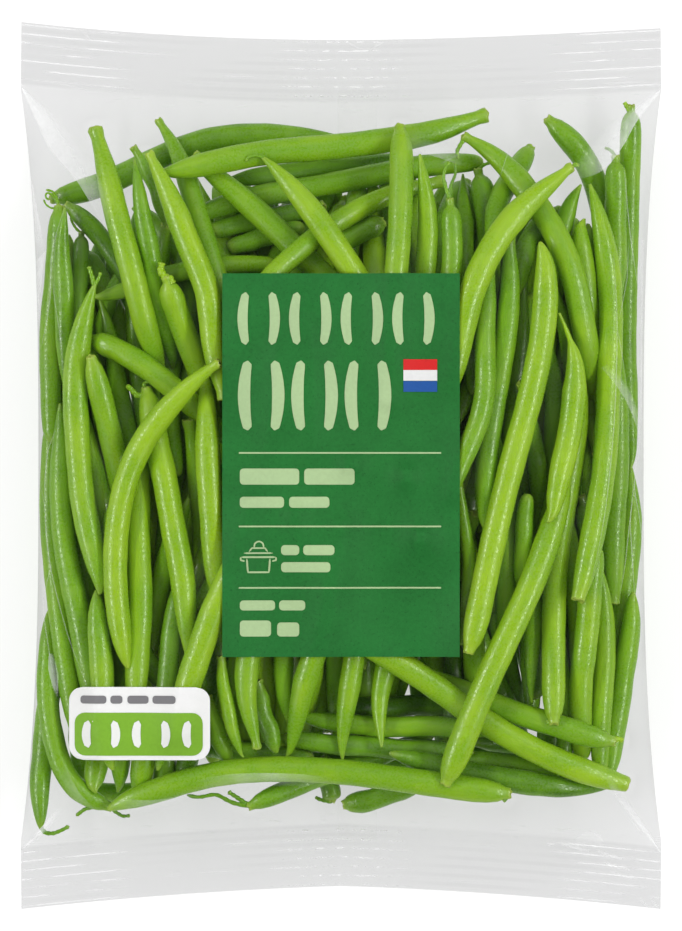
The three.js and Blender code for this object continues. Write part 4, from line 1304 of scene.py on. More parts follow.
# ---- beans
@dataclass
class BeanShape:
    """The fine form of a bean round its centreline, in millimetres."""

    rings: int = 68
    sides: int = 18
    seed: int = 3
    cap_widths: tuple[float, ...] = (0.04, 0.5, 0.82)
    uv_spread: float = 137.0
    stalk_rings: int = 22
    stalk_sides: int = 10
    stalk_shares: tuple[float, ...] = (0, 0.03, 0.1, 0.85, 0.97, 1.0)
    stalk_widths: tuple[float, ...] = (0.5, 1.1, 1.0, 0.8, 0.95, 0.3)

    def profile(self, share: Array, length: float, stem: End, tail: End) -> Array:
        """The width along the bean as a share of the body's: each end's own, smoothed between.

        Args:
            share: places along the bean, 0 at the stem and 1 at the tail.
            length: the bean's length.
            stem: the stem end's kind.
            tail: the tail end's kind.

        Returns:
            The width at each place: the product of the two ends' widths.
        """
        stretch = min(1.0, length / 60.0)
        wide = np.ones_like(share)
        for end, away in ((stem, share * length), (tail, (1 - share) * length)):
            table = np.array(end.value)
            dense = np.linspace(0, 30, 301)
            plain = np.interp(dense, table[:, 0] * stretch, table[:, 1])
            bell = np.exp(-(np.linspace(-1, 1, 13) ** 2) * 3)
            smooth = np.convolve(np.pad(plain, 6, mode="edge"), bell / bell.sum(), mode="valid")
            wide = wide * np.interp(away, dense, smooth)
        return wide

    def frame(self, curve: Array, share: Array) -> tuple[Array, ...]:
        """The centreline with its directions at each share of its length.

        Args:
            curve: the centreline's eight Legendre coefficients.
            share: places along it, from 0 to 1.

        Returns:
            The points, and the unit vectors along, across and over.
        """
        t = 2 * share - 1
        line = legendre(t, 8) @ curve
        along = (legendre(t + 0.01, 8) - legendre(t - 0.01, 8)) @ curve
        along /= np.linalg.norm(along, axis=1)[:, None]
        across = np.cross(np.array([0.0, 0.0, 1.0]), along)
        across /= np.linalg.norm(across, axis=1)[:, None]
        return line, along, across, np.cross(along, across)

    def build(
        self, curve: Array, radius: float, tone: float, number: int, ends: tuple[End, End]
    ) -> MeshData:
        """Makes one bean.

        Args:
            curve: the centreline's eight Legendre coefficients.
            radius: the widest radius.
            tone: how bright its green is.
            number: picks its own random shape.
            ends: the kinds of its stem and its tail.

        Returns:
            The bean's mesh.
        """
        rng = np.random.default_rng(self.seed * 1000 + number)
        length = 2 * np.linalg.norm(curve[1])
        raw = np.linspace(0, 1, self.rings)
        body_share = 0.4 * raw + 0.6 * (1 - np.cos(np.pi * raw)) / 2
        sink = np.array([2.2, 1.6, 0.2]) / length
        into_stem = sink * (1.0 if ends[0] is HOLLOW else 0.12)
        into_tail = sink * (1.0 if ends[1] is HOLLOW else 0.12)
        caps = len(self.cap_widths)
        share = np.concatenate([into_stem, body_share, 1 - into_tail[::-1]])
        factor = np.concatenate([self.cap_widths, np.ones(self.rings), self.cap_widths[::-1]])
        outline = np.concatenate([np.zeros(caps), body_share, np.ones(caps)])
        line, along, across, over = self.frame(curve, share)
        wave, phase = rng.uniform(1.2, 2.6, 3), rng.uniform(0, 2 * np.pi, 3)
        sway = 0.22 * np.sin(2 * np.pi * wave[0] * share + phase[0]) * np.sin(np.pi * share)
        hook = rng.uniform(-1, 1) * 1.3 * np.clip((share - 0.94) / 0.06, 0, 1) ** 2
        hook = hook * (0.0 if ends[1].raw else 1.0)
        line = line + across * (sway + hook)[:, None]
        angle = np.linspace(0, 2 * np.pi, self.sides, endpoint=False)
        roll = rng.uniform(0, np.pi) + rng.uniform(-0.8, 0.8) * share[:, None]
        spacing = rng.uniform(8.5, 11.5)
        even = np.clip((share - 0.1) / 0.08, 0, 1) * np.clip((0.92 - share) / 0.08, 0, 1)
        beads = 0.012 * np.cos(2 * np.pi * share * length / spacing + phase[1]) * even
        beads = beads + 0.012 * np.sin(2 * np.pi * share * wave[1] * 2 + phase[2])
        turned = angle[None] - roll
        flat = 1 - 0.03 * np.cos(2 * turned) + 0.004 * np.cos(4 * turned + 1)
        reach = radius * self.profile(outline, length, *ends)[:, None] * (1 + beads[:, None]) * flat
        cut, slide = np.zeros(len(share)), np.zeros((len(share), self.sides))
        from_stem, from_tail = outline * length, (1 - outline) * length
        for end, away, sign in ((ends[0], from_stem, 1.0), (ends[1], from_tail, -1.0)):
            if end.raw:
                near = np.clip(1 - away / 1.1, 0, 1)
                lobes = rng.uniform(0, 2 * np.pi, 3)
                ragged = 0.5 * np.sin(2 * angle + lobes[0]) + 0.5 * np.sin(3 * angle + lobes[1])
                ragged = ragged + 0.6 * np.sin(5 * angle + lobes[2])
                reach = reach * (1 + 0.07 * near[:, None] * ragged[None])
                slide = slide + 0.32 * sign * near[:, None] * ragged[None]
                cut = np.maximum(cut, 0.75 * np.clip(1 - away / 1.3, 0, 1) ** 1.5)
                cut = np.maximum(cut, 0.22 * np.clip(1 - away / 5.0, 0, 1))
            else:
                cut = np.maximum(cut, 0.35 * np.clip(1 - away / 3.0, 0, 1))
        points = self._rings(line, across, over, reach * factor[:, None], angle)
        points = points + slide[..., None] * along[:, None]
        return self._skin(points, share * length, tone, cut, roll.mean() / (2 * np.pi), number)

    @staticmethod
    def _rings(line: Array, across: Array, over: Array, reach: Array, angle: Array) -> Array:
        """Rings about a line: the line + reach * (cos(angle) * across + sin(angle) * over)."""
        level = np.cos(angle)[None, :, None] * across[:, None]
        upright = np.sin(angle)[None, :, None] * over[:, None]
        return line[:, None] + reach[..., None] * (level + upright)

    def _skin(
        self, points: Array, away: Array, tone: float, cut: Array, turn: float, number: int
    ) -> MeshData:
        """Closes rings of points into a tube, with uv round and along it.

        Args:
            points: the rings' points.
            away: millimetres along the tube at each ring.
            tone: how bright its green is.
            cut: how pale each ring is.
            turn: where the uv's seam starts, in turns.
            number: shifts the uv, so that no two beans match.

        Returns:
            The mesh.
        """
        rings, sides = points.shape[:2]
        count = rings * sides
        caps = [list(range(sides))[::-1], list(range(count - sides, count))]
        row, column = np.meshgrid(np.arange(rings - 1), np.arange(sides), indexing="ij")
        corner_row = np.stack([row, row, row + 1, row + 1], -1).reshape(-1)
        corner_column = np.stack([column, column + 1, column + 1, column], -1).reshape(-1)
        shifted = away[corner_row] + number * self.uv_spread
        uv = np.stack([corner_column / sides - turn, shifted], -1)
        values = {"tone": np.full(count, tone), "cut": np.repeat(cut, sides)}
        faces = grid_faces(rings, sides, wrap=True)
        return MeshData(points.reshape(-1, 3), faces, caps, values, uv)

    def stalk(self, stalk: Stalk, start: Array, number: int) -> MeshData:
        """Makes a stalk: a thin tube along its line, a little knobbly, from the bean's end.

        Args:
            stalk: its line and width.
            start: the bean's end, in millimetres.
            number: shifts the uv.

        Returns:
            The stalk's mesh.
        """
        plan = to_plan(stalk.line)
        plan = plan + (start[:2] - plan[0])[None] * np.linspace(1, 0.6, len(plan))[:, None]
        away, fine = walk(plan, self.stalk_rings)
        soften(fine, 3)
        line = np.concatenate([fine, np.full((self.stalk_rings, 1), start[2])], axis=1)
        along = headings(line)
        across = np.cross(np.array([0.0, 0.0, 1.0]), along)
        over = np.cross(along, across)
        angle = np.linspace(0, 2 * np.pi, self.stalk_sides, endpoint=False)
        knobs = 1 + 0.12 * np.sin(away * 4.1 + number)
        share = np.linspace(0, 1, self.stalk_rings)
        taper = np.interp(share, self.stalk_shares, self.stalk_widths)
        reach = stalk.width * SHEET_SCALE / 2 * knobs * taper
        points = self._rings(line, across, over, reach[:, None], angle)
        cut = 0.3 * np.clip((away - away[-1] + 1.0), 0, 1)
        return self._skin(points, away, stalk.tone, cut, 0.0, number)


@dataclass
class Beans:
    """All the beans, as one piece for each CAD node that holds any."""

    packing: Packing
    skin: Material
    shape: BeanShape = field(default_factory=BeanShape)
    tops: list[Array] = field(default_factory=list)

    def nodes(self) -> dict[str, list[int]]:
        """Which beans stand for which CAD node: singles first, then strips across the bag."""
        members = {f"bean_{k + 1:02d}": [k] for k in range(SINGLE_NODES)}
        inner = np.arange(SINGLE_NODES, len(self.packing.radius))
        centre = self.packing.curve[inner, 0]
        strips = FUSED_NODES // 2
        for end, half in enumerate((inner[centre[:, 1] < 0], inner[centre[:, 1] >= 0])):
            order = half[np.argsort(self.packing.curve[half, 0, 0], kind="stable")]
            for strip in range(strips):
                cut = [int(math.floor(k * len(order) / strips + 0.5)) for k in (strip, strip + 1)]
                name = f"beans_inner_{end * strips + strip + 1:02d}"
                members[name] = order[cut[0] : cut[1]].tolist()
        return members

    def _bean(self, k: int) -> MeshData:
        """One bean with its stalks; a stalk starts at whichever end it is nearer to.

        Args:
            k: the bean's number, from 0.

        Returns:
            Its mesh.
        """
        p = self.packing
        curve = p.coefficients(k)
        body = self.shape.build(curve, p.radius[k], float(p.tone[k]), k, p.ends[k])
        tips = legendre(np.array([-0.98, 0.98]), 8) @ curve
        for number, stalk in enumerate(STALKS):
            if stalk.bean == k + 1:
                first = to_plan(stalk.line)[0]
                tip = tips[np.argmin(np.linalg.norm(tips[:, :2] - first, axis=1))]
                body = body.join(self.shape.stalk(stalk, tip, 300 + number))
        return body

    def build(self) -> None:
        """Makes the pieces and keeps each bean's points for the film to rest on."""
        for node, members in self.nodes().items():
            made = [self._bean(k) for k in members]
            self.tops += [bean.points for bean in made]
            piece = joined(made).to_object(f"{node}_fine", self.skin)
            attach(piece, "root")
            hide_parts(node)
        log.info("beans: %d in %d pieces", len(self.packing.radius), len(self.nodes()))


# ---- film
@dataclass
class Film:
    """The bag's film: a membrane stretched over the beans in front, flattened behind."""

    form: BagForm
    columns: int = 181
    rows: int = 219
    seal_rows: int = 20
    rounds: int = 400
    pressure: float = -0.012
    rest: float = 0.25
    x: Array = field(init=False)
    y: Array = field(init=False)
    v: Array = field(init=False)
    ends: Array = field(init=False)
    front: Array = field(init=False)
    back: Array = field(init=False)

    def __post_init__(self) -> None:
        """Lays out the grid: even across, even along the fill, and even along each seal."""
        form = self.form
        u = np.linspace(-1, 1, self.columns)
        fill = np.linspace(-form.fill_half, form.fill_half, self.rows)
        past = np.arange(1, self.seal_rows + 1) / self.seal_rows
        v = np.concatenate([-1 - past[::-1], fill / form.fill_half, 1 + past])
        upper = form.cut_end(u) - 1.9 * np.maximum(0, u) ** 3
        ends = np.where(v[:, None] > 0, upper, form.cut_end(u) - 1.6 * (1 - np.abs(u)) ** 2)
        reach = form.fill_half + (ends - form.fill_half) * np.maximum(0, np.abs(v) - 1)[:, None]
        inside = np.minimum(1.0, np.abs(v))[:, None] * form.fill_half
        self.y = np.sign(v)[:, None] * np.where(np.abs(v)[:, None] > 1, reach, inside)
        self.x = u[None] * form.half_width(self.y)
        self.v = np.repeat(v[:, None], self.columns, axis=1)
        self.ends = ends

    def obstacle(self, tops: list[Array]) -> Array:
        """The height of the beans under each grid vertex.

        Args:
            tops: points on the beans.

        Returns:
            Heights, low where there is no bean.
        """
        points = np.concatenate(tops)
        u = points[:, 0] / self.form.half_width(points[:, 1])
        column = np.rint((u + 1) / 2 * (self.columns - 1)).astype(int)
        row = np.rint((points[:, 1] / self.form.fill_half + 1) / 2 * (self.rows - 1)).astype(int)
        keep = (column >= 0) & (column < self.columns) & (row >= 0) & (row < self.rows)
        high = np.full((self.rows, self.columns), -50.0)
        np.maximum.at(high, (row[keep], column[keep]), points[keep, 2])
        wide = high.copy()
        for dr, dc, less in ((0, 1, 0.05), (1, 0, 0.0), (1, 1, 0.1), (1, -1, 0.1)):
            for sign in (-1, 1):
                wide = np.maximum(wide, np.roll(high, (sign * dr, sign * dc), (0, 1)) - less)
        return wide

    def stretch(self, tops: list[Array]) -> None:
        """Relaxes the front: each vertex takes its neighbours' mean, never below the beans.

        Args:
            tops: points on the beans.
        """
        form = self.form
        inner = slice(self.seal_rows, self.seal_rows + self.rows)
        z = form.front(self.x[inner], self.y[inner]) - 6.0
        edge = form.middle + 0.1
        z[[0, -1]] = edge
        z[:, [0, -1]] = edge
        floor = self.obstacle(tops) + self.rest
        z = np.maximum(z, floor)
        z[[0, -1]] = edge
        z[:, [0, -1]] = edge
        for _ in range(self.rounds):
            z[1:-1, 1:-1] = np.maximum(around(z) + self.pressure, floor[1:-1, 1:-1])
        full = form.meeting(self.y) + 0.08
        full[inner] = z
        self.front = full

    def build(self, tops: list[Array], finish: Material) -> bpy.types.Object:
        """Makes the film's piece: the front and the back as two sheets in one mesh.

        Args:
            tops: points on the beans.
            finish: the film's material.

        Returns:
            The film's object.
        """
        self.stretch(tops)
        form = self.form
        back = np.where(np.abs(self.v) > 1, form.meeting(self.y) - 0.08, form.back(self.x, self.y))
        inner = slice(self.seal_rows + 2, self.seal_rows + self.rows - 2)
        ceiling = -self.obstacle([points * (1, 1, -1) for points in tops])[2:-2] - self.rest
        back[inner, 1:-1] = np.maximum(0.0, np.minimum(back[inner, 1:-1], ceiling[:, 1:-1]))
        self.back = back
        rows, columns = self.front.shape
        top = np.stack([self.x, self.y, self.front], -1).reshape(-1, 3)
        low = np.stack([self.x, self.y, back], -1).reshape(-1, 3)
        front = grid_faces(rows, columns)
        rear = grid_faces(rows, columns, look=Axis.DOWN) + rows * columns
        band = (self.ends - np.abs(self.y)).ravel()
        data = MeshData(
            np.concatenate([top, low]),
            np.concatenate([front, rear]),
            values={"band": np.tile(band, 2)},
        )
        piece = data.to_object("film_fine", finish)
        piece.visible_shadow = False
        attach(piece, "root")
        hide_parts("film_bag")
        log.info("film: %d quads", len(data.quads))
        return piece

    def height(self, x: Array, y: Array, behind: bool = False) -> Array:
        """The front or the back film's height at any places, by bilinear interpolation."""
        form = self.form
        u = (x / form.half_width(y) + 1) / 2 * (self.columns - 1)
        w = (y / form.fill_half + 1) / 2 * (self.rows - 1)
        z = (self.back if behind else self.front)[self.seal_rows : self.seal_rows + self.rows]
        return np.where(np.abs(y) > form.fill_half, form.meeting(y) + 0.08, between(z, u, w))


@dataclass
class BackSeam:
    """The back's long seam and the melted rims of its four vent holes, in one piece."""

    film: Film
    middle: float = 5.0
    width: float = 12.0
    lift: float = 0.12
    vent: tuple[float, float] = (42.0, 48.0)
    vent_radius: float = 3.0
    rim: float = 0.3
    veil: float = 0.04
    edge_veil: float = 0.05
    rim_veil: float = 0.35

    def _seam(self) -> MeshData:
        """A strip along the back that follows the film, whitest along its two edges."""
        y = np.linspace(-self.film.form.fill_half, self.film.form.fill_half, 160)
        across = np.linspace(0, self.width, 9)
        x, y = np.meshgrid(self.middle - self.width / 2 + across, y)
        z = self.film.height(x, y, behind=True) + self.lift
        points = np.stack([x, y, z], -1).reshape(-1, 3)
        edge = (across == 0) | (across == self.width)
        veil = np.tile(np.where(edge, self.edge_veil, self.veil), 160)
        return MeshData(points, grid_faces(160, 9), values={"veil": veil})

    def _rim(self, x: float, y: float) -> MeshData:
        """A half round ring about a vent: a half circle turned about the vent's middle."""
        turn = np.linspace(0, 2 * np.pi, 28, endpoint=False)
        over = np.linspace(0, np.pi, 7)[:, None]
        reach = self.vent_radius + self.rim * np.cos(over)
        px, py = x + reach * np.cos(turn), y + reach * np.sin(turn)
        z = self.film.height(px, py, behind=True) + self.rim * np.sin(over)
        points = np.stack([px, py, z], -1).reshape(-1, 3)
        veil = np.full(len(points), self.rim_veil)
        return MeshData(points, grid_faces(7, 28, wrap=True), values={"veil": veil})

    def build(self, finish: Material) -> None:
        """Makes the piece."""
        x, y = self.vent
        rims = [self._rim(side * x, end * y) for side in (-1, 1) for end in (-1, 1)]
        data = joined([self._seam(), *rims])
        piece = data.to_object("back_seam", finish)
        piece.visible_shadow = False
        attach(piece, "root")
        log.info("back seam and vents: %d quads", len(data.quads))


# ---- glints on the film
# Painted reflections on tight facets of film: the crisp edge, the soft edge, and the whiteness at
# the start, middle and end.
FACETS = (
    ((20, 85, 32, 110, 45, 140, 52, 153, 66, 168, 80, 184, 92, 205, 102, 222, 108, 236), (20, 85,
     52, 112, 72, 135, 92, 162, 102, 180, 109, 195, 112, 210, 113, 225, 111, 238),
     (0.75, 0.42, 0.14)),
    ((661, 92, 648, 108, 634, 126, 627, 142, 614, 160, 604, 172, 590, 178, 577, 181), (661, 88,
     640, 104, 622, 116, 605, 128, 592, 142, 580, 157, 573, 168, 569, 176), (0.7, 0.38, 0.22)),
    ((661, 853, 645, 833, 628, 812, 612, 792, 606, 780), (661, 852, 650, 832, 636, 811, 620, 789,
     612, 776), (0.85, 0.55, 0.3)),
    ((20, 852, 33, 838, 45, 824, 62, 806), (20, 851, 37, 841, 51, 828, 66, 808), (0.8, 0.5, 0.3)),
    ((26, 150, 32, 180, 38, 210, 43, 235, 46, 253), (27, 150, 29, 180, 31, 210, 33, 235, 35, 262),
     (0.3, 0.55, 0.4)),
    ((46, 253, 43, 275, 41, 300, 39, 335), (35, 262, 35, 285, 34, 310, 36, 340), (0.5, 0.4, 0.2)),
    ((601, 369, 611, 380, 622, 395, 632, 414, 640, 437), (607, 364, 620, 376, 630, 390, 637, 405,
     642, 424), (0.05, 0.28, 0.2)),
    ((50, 653, 49, 668, 52, 681, 57, 696), (55, 655, 58, 668, 60, 681, 60, 697),
     (0.25, 0.35, 0.3)),
    ((196, 779, 230, 773, 265, 772, 300, 773, 335, 777), (196, 797, 230, 791, 265, 786, 300, 786,
     335, 788), (0.0, 0.24, 0.05)),
    ((108, 806, 125, 798, 150, 800, 175, 797, 200, 790), (108, 814, 130, 818, 155, 811, 178, 805,
     203, 797), (0.0, 0.18, 0.08)),
    ((402, 151, 420, 154, 440, 160, 462, 168), (402, 138, 424, 140, 446, 144, 468, 152),
     (0.0, 0.22, 0.12)),
    ((66, 760, 72, 778, 82, 795, 96, 808), (58, 768, 63, 786, 74, 802, 92, 812), (0.0, 0.12, 0.1)),
    ((644, 240, 643, 330, 642, 420, 641, 470), (640, 240, 640, 330, 639, 420, 639, 470),
     (0.2, 0.35, 0.2)),
    ((577, 838, 590, 831, 602, 836, 607, 846), (577, 846, 590, 845, 600, 846, 606, 848),
     (0.2, 0.3, 0.2)),
)

# Painted highlights along fine pulled lines in the film, with their width on the view's sheet and
# their whiteness.
HAIRLINES = (
    ((38, 478, 46, 500, 47, 530, 50, 560, 56, 588, 62, 610, 71, 642, 81, 666, 88, 684), 1.5, 0.5),
    ((57, 431, 49, 450, 46, 480, 46, 502), 1.5, 0.5),
    ((53, 563, 48, 582, 43, 606, 47, 632, 52, 662, 56, 690), 1.5),
    ((65, 212, 58, 232, 52, 260, 52, 295, 47, 328, 41, 352), 1.5, 0.4),
    ((52, 262, 56, 302, 62, 340, 65, 366), 1.4, 0.35),
    ((624, 165, 627, 200, 630, 233, 634, 262, 640, 298), 1.6, 0.5),
    ((629, 240, 627, 280, 619, 320), 1.4, 0.5),
    ((613, 255, 616, 290, 617, 330, 616, 375, 614, 422, 610, 466, 605, 510, 599, 545, 592, 575),
     1.8, 0.5),
    ((617, 330, 624, 368), 1.4, 0.4),
    ((640, 437, 636, 468, 634, 488, 640, 518, 643, 546),),
    ((634, 488, 630, 522, 633, 568, 635, 598),),
    ((634, 482, 630, 520, 625, 566, 620, 594), 1.6, 0.5),
    ((643, 836, 634, 824, 628, 815), 1.6, 0.6),
    ((22, 87, 33, 106, 48, 126, 60, 140), 1.8, 0.5),
    ((56, 660, 59, 675, 58, 697), 2.2, 0.6),
    ((460, 155, 448, 162, 440, 166), 1.6, 0.4),
    ((500, 178, 506, 160, 512, 145), 1.4, 0.35),
    ((83, 30, 86, 35, 91, 40), 2.6, 0.5),
    ((345, 41, 355, 46, 363, 50), 2.2, 0.5),
    ((386, 41, 377, 46, 371, 50), 2.2, 0.5),
    ((600, 47, 604, 51), 2.4, 0.5),
    ((640, 899, 646, 905, 650, 909), 2.4, 0.9),
    ((652, 900, 656, 905, 661, 909), 2.4, 0.9),
    ((547, 845, 556, 844), 3.0, 1.0),
    ((560, 844, 575, 848, 592, 852), 3.4, 0.95),
    ((597, 850, 610, 856, 624, 860), 3.6, 1.0),
    ((604, 862, 618, 868, 632, 871), 3.2, 1.0),
    ((612, 872, 624, 877, 636, 880), 2.8, 0.9),
    ((600, 84, 620, 83, 652, 82), 2.2, 0.5),
    ((603, 72, 620, 70, 654, 69), 2.6),
    ((24, 33, 50, 36, 84, 42), 2.0, 0.4),
    ((24, 43, 50, 46, 100, 55), 2.0, 0.35),
    ((24, 79, 56, 83, 95, 92), 2.4, 0.4),
)


@dataclass
class Glints:
    """The painted glints: white strips just over the film for its highlights and reflections, in
    one piece.
    """

    film: Film
    lift: float = 0.12
    faint: float = 0.45
    across: int = 7
    along: int = 28

    def _spread(self, line: Line) -> Array:
        """A line's points at even steps along it, smoothed."""
        _, fine = walk(to_plan(line), self.along)
        soften(fine, 4)
        return fine

    def _strip(self, grid: Array, veil: Array) -> MeshData:
        """A strip of film-hugging quads that face up."""
        limit = self.film.form.half_width(grid[..., 1]) - 0.15
        grid[..., 0] = np.clip(grid[..., 0], -limit, limit)
        z = self.film.height(grid[..., 0], grid[..., 1]) + self.lift
        return sheet(grid, z, veil=veil)

    def facet(self, crisp: Line, soft: Line, veil: Triple) -> MeshData:
        """A ruled strip of painted reflection from the crisp edge to the soft edge; its whiteness
        falls by a power.
        """
        start, end = self._spread(crisp), self._spread(soft)
        v = np.linspace(0, 1, self.across)[None, :, None]
        grid = start[:, None] * (1 - v) + end[:, None] * v
        share = np.linspace(0, 1, self.along)
        along = np.interp(share, [0, 0.5, 1], veil) * np.clip((1 - share) / 0.25, 0, 1)
        return self._strip(grid, along[:, None] * (1 - v[:, :, 0] ** 2.2))

    def hairline(self, line: Line, width: float = 1.6, veil: float = 0.55) -> MeshData:
        """A narrow strip of painted highlight about the line, which fades across and towards its
        ends.
        """
        v = np.linspace(-1, 1, self.across)
        taper = np.sin(np.pi * np.linspace(0.02, 0.98, self.along)) ** 0.4
        grid = ribbon(self._spread(line), width * SHEET_SCALE / 2 * taper, v)
        return self._strip(grid, self.faint * veil * taper[:, None] * (1 - v[None] ** 2))

    def build(self, finish: Material) -> None:
        """Makes the piece."""
        strips = [self.facet(*row) for row in FACETS]
        strips += [self.hairline(*row) for row in HAIRLINES]
        piece = joined(strips).to_object("film_glints", finish)
        piece.visible_shadow = False
        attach(piece, "root")
        log.info("glints: %d strips", len(strips))


# ---- label and sticker
@dataclass
class Patch:
    """A printed patch that follows the front film."""

    name: str
    node: str
    middle: tuple[float, float]
    width: float
    length: float
    corner: float
    lift: float = 0.35
    columns: int = 90
    rows: int = 140
    rounds: int = 14
    z: Array = field(init=False)

    def reach(self, y: Array) -> Array:
        """Half the patch's width at each y from its middle: straight, then a quarter circle."""
        into = np.maximum(0, np.abs(y) - (self.length / 2 - self.corner))
        return self.width / 2 - self.corner + np.sqrt(np.maximum(0, self.corner**2 - into**2))

    def build(self, film: Film, finish: Material) -> None:
        """Makes the patch over the film, with rounded corners.

        Args:
            film: what it lies on.
            finish: its material.
        """
        y = np.linspace(-1, 1, self.rows) * self.length / 2
        u = np.linspace(-1, 1, self.columns)
        px = u[None] * self.reach(y)[:, None] + self.middle[0]
        py = np.repeat(y[:, None], self.columns, axis=1) + self.middle[1]
        z = film.height(px, py)
        for _ in range(self.rounds):
            z[1:-1, 1:-1] = np.maximum(z[1:-1, 1:-1], around(z))
        self.z = z + self.lift
        points = np.stack([px, py, self.z], -1).reshape(-1, 3)
        data = MeshData(points, grid_faces(self.rows, self.columns))
        piece = data.to_object(self.name, finish)
        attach(piece, "root")
        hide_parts(self.node)

    def height(self, x: Array, y: Array) -> Array:
        """The patch's height at any place on it, by bilinear interpolation."""
        below = y - self.middle[1]
        u = ((x - self.middle[0]) / self.reach(below) + 1) / 2 * (self.columns - 1)
        w = (below / self.length + 0.5) * (self.rows - 1)
        return between(self.z, u, w)


@dataclass
class Print:
    """Ink of one colour on a patch, as thin strips just over it, in one piece."""

    name: str
    patch: Patch
    slot: str
    lift: float = 0.16
    pitch: float = 0.7
    marks: list[MeshData] = field(default_factory=list)

    def _lay(self, grid: Array) -> None:
        """Keeps a grid of places as a strip that follows the patch."""
        z = self.patch.height(grid[..., 0], grid[..., 1]) + self.lift
        self.marks.append(sheet(grid, z))

    def bar(self, left: float, top: float, right: float, bottom: float, corner: float) -> None:
        """Adds a bar: its half width follows a quarter circle at each corner.

        Args:
            left: its left side on the view's sheet.
            top: its top there.
            right: its right side there.
            bottom: its bottom there.
            corner: the corners' radius, in millimetres.
        """
        low, high = to_plan((left, bottom, right, top))
        half, tall = (high - low) / 2
        corner = min(corner, half, tall)
        rows = max(4, int(2 * tall / self.pitch))
        lower = -tall + corner * (1 - np.cos(np.linspace(0, np.pi / 2, 6)))
        upper = tall - corner * (1 - np.cos(np.linspace(np.pi / 2, 0, 6)))
        straight = np.linspace(-tall + corner, tall - corner, rows)[1:-1]
        y = np.concatenate([lower, straight, upper])
        into = np.maximum(0, np.abs(y) - (tall - corner))
        reach = half - corner + np.sqrt(np.maximum(0, corner**2 - into**2))
        u = np.linspace(-1, 1, max(4, int(half * 2 / self.pitch)))
        x, y = u[None] * reach[:, None], np.repeat(y[:, None], len(u), 1)
        self._lay(np.stack([x, y], -1) + (high + low) / 2)

    def stroke(self, line: Line, width: float, swell: float = 0.0) -> None:
        """Adds a stroke with round ends; its width swells with a sine towards its middle.

        Args:
            line: its line on the view's sheet.
            width: its width there.
            swell: how much wider its middle is, as a share.
        """
        plan = to_plan(line)
        half = width * SHEET_SCALE / 2
        away, fine = walk(plan, max(10, int(distances(plan)[-1] / 0.8)))
        if swell:
            soften(fine, 6)
        share = away / away[-1]
        near = np.clip(np.minimum(away, away[-1] - away) / half, 0, 1)
        reach = half * np.sqrt(np.maximum(0.02, 1 - (1 - near) ** 2))
        reach = reach * (1 + swell * np.sin(np.pi * share))
        self._lay(ribbon(fine, reach, np.linspace(-1, 1, 5)))

    def build(self, finish: Material) -> None:
        """Makes the piece."""
        piece = joined(self.marks).to_object(self.name, finish)
        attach(piece, "root")


# Each bar's left, top, right and bottom; each of the pot's lines with its width.
WORD_BARS = (
    (241, 469, 300, 485), (305, 469, 355, 485), (241, 497, 285, 508), (290, 497, 330, 508),
    (282, 545, 300, 555), (304, 545, 335, 555), (282, 562, 331, 572), (241, 600, 276, 610),
    (280, 600, 306, 610), (241, 620, 272, 636), (278, 622, 300, 636),
)
POT = (
    ((248, 558, 249, 572, 270, 572, 271, 558), 1.8),
    ((242, 557, 277, 557), 1.8),
    ((242, 557, 242, 560, 246, 561), 1.6),
    ((277, 557, 277, 560, 273, 561), 1.6),
    ((245, 553, 274, 553), 1.6),
    ((250, 552, 253, 548, 266, 548, 269, 552), 1.6),
    ((255, 548, 256, 543, 260, 541, 264, 543, 265, 548), 1.6),
)


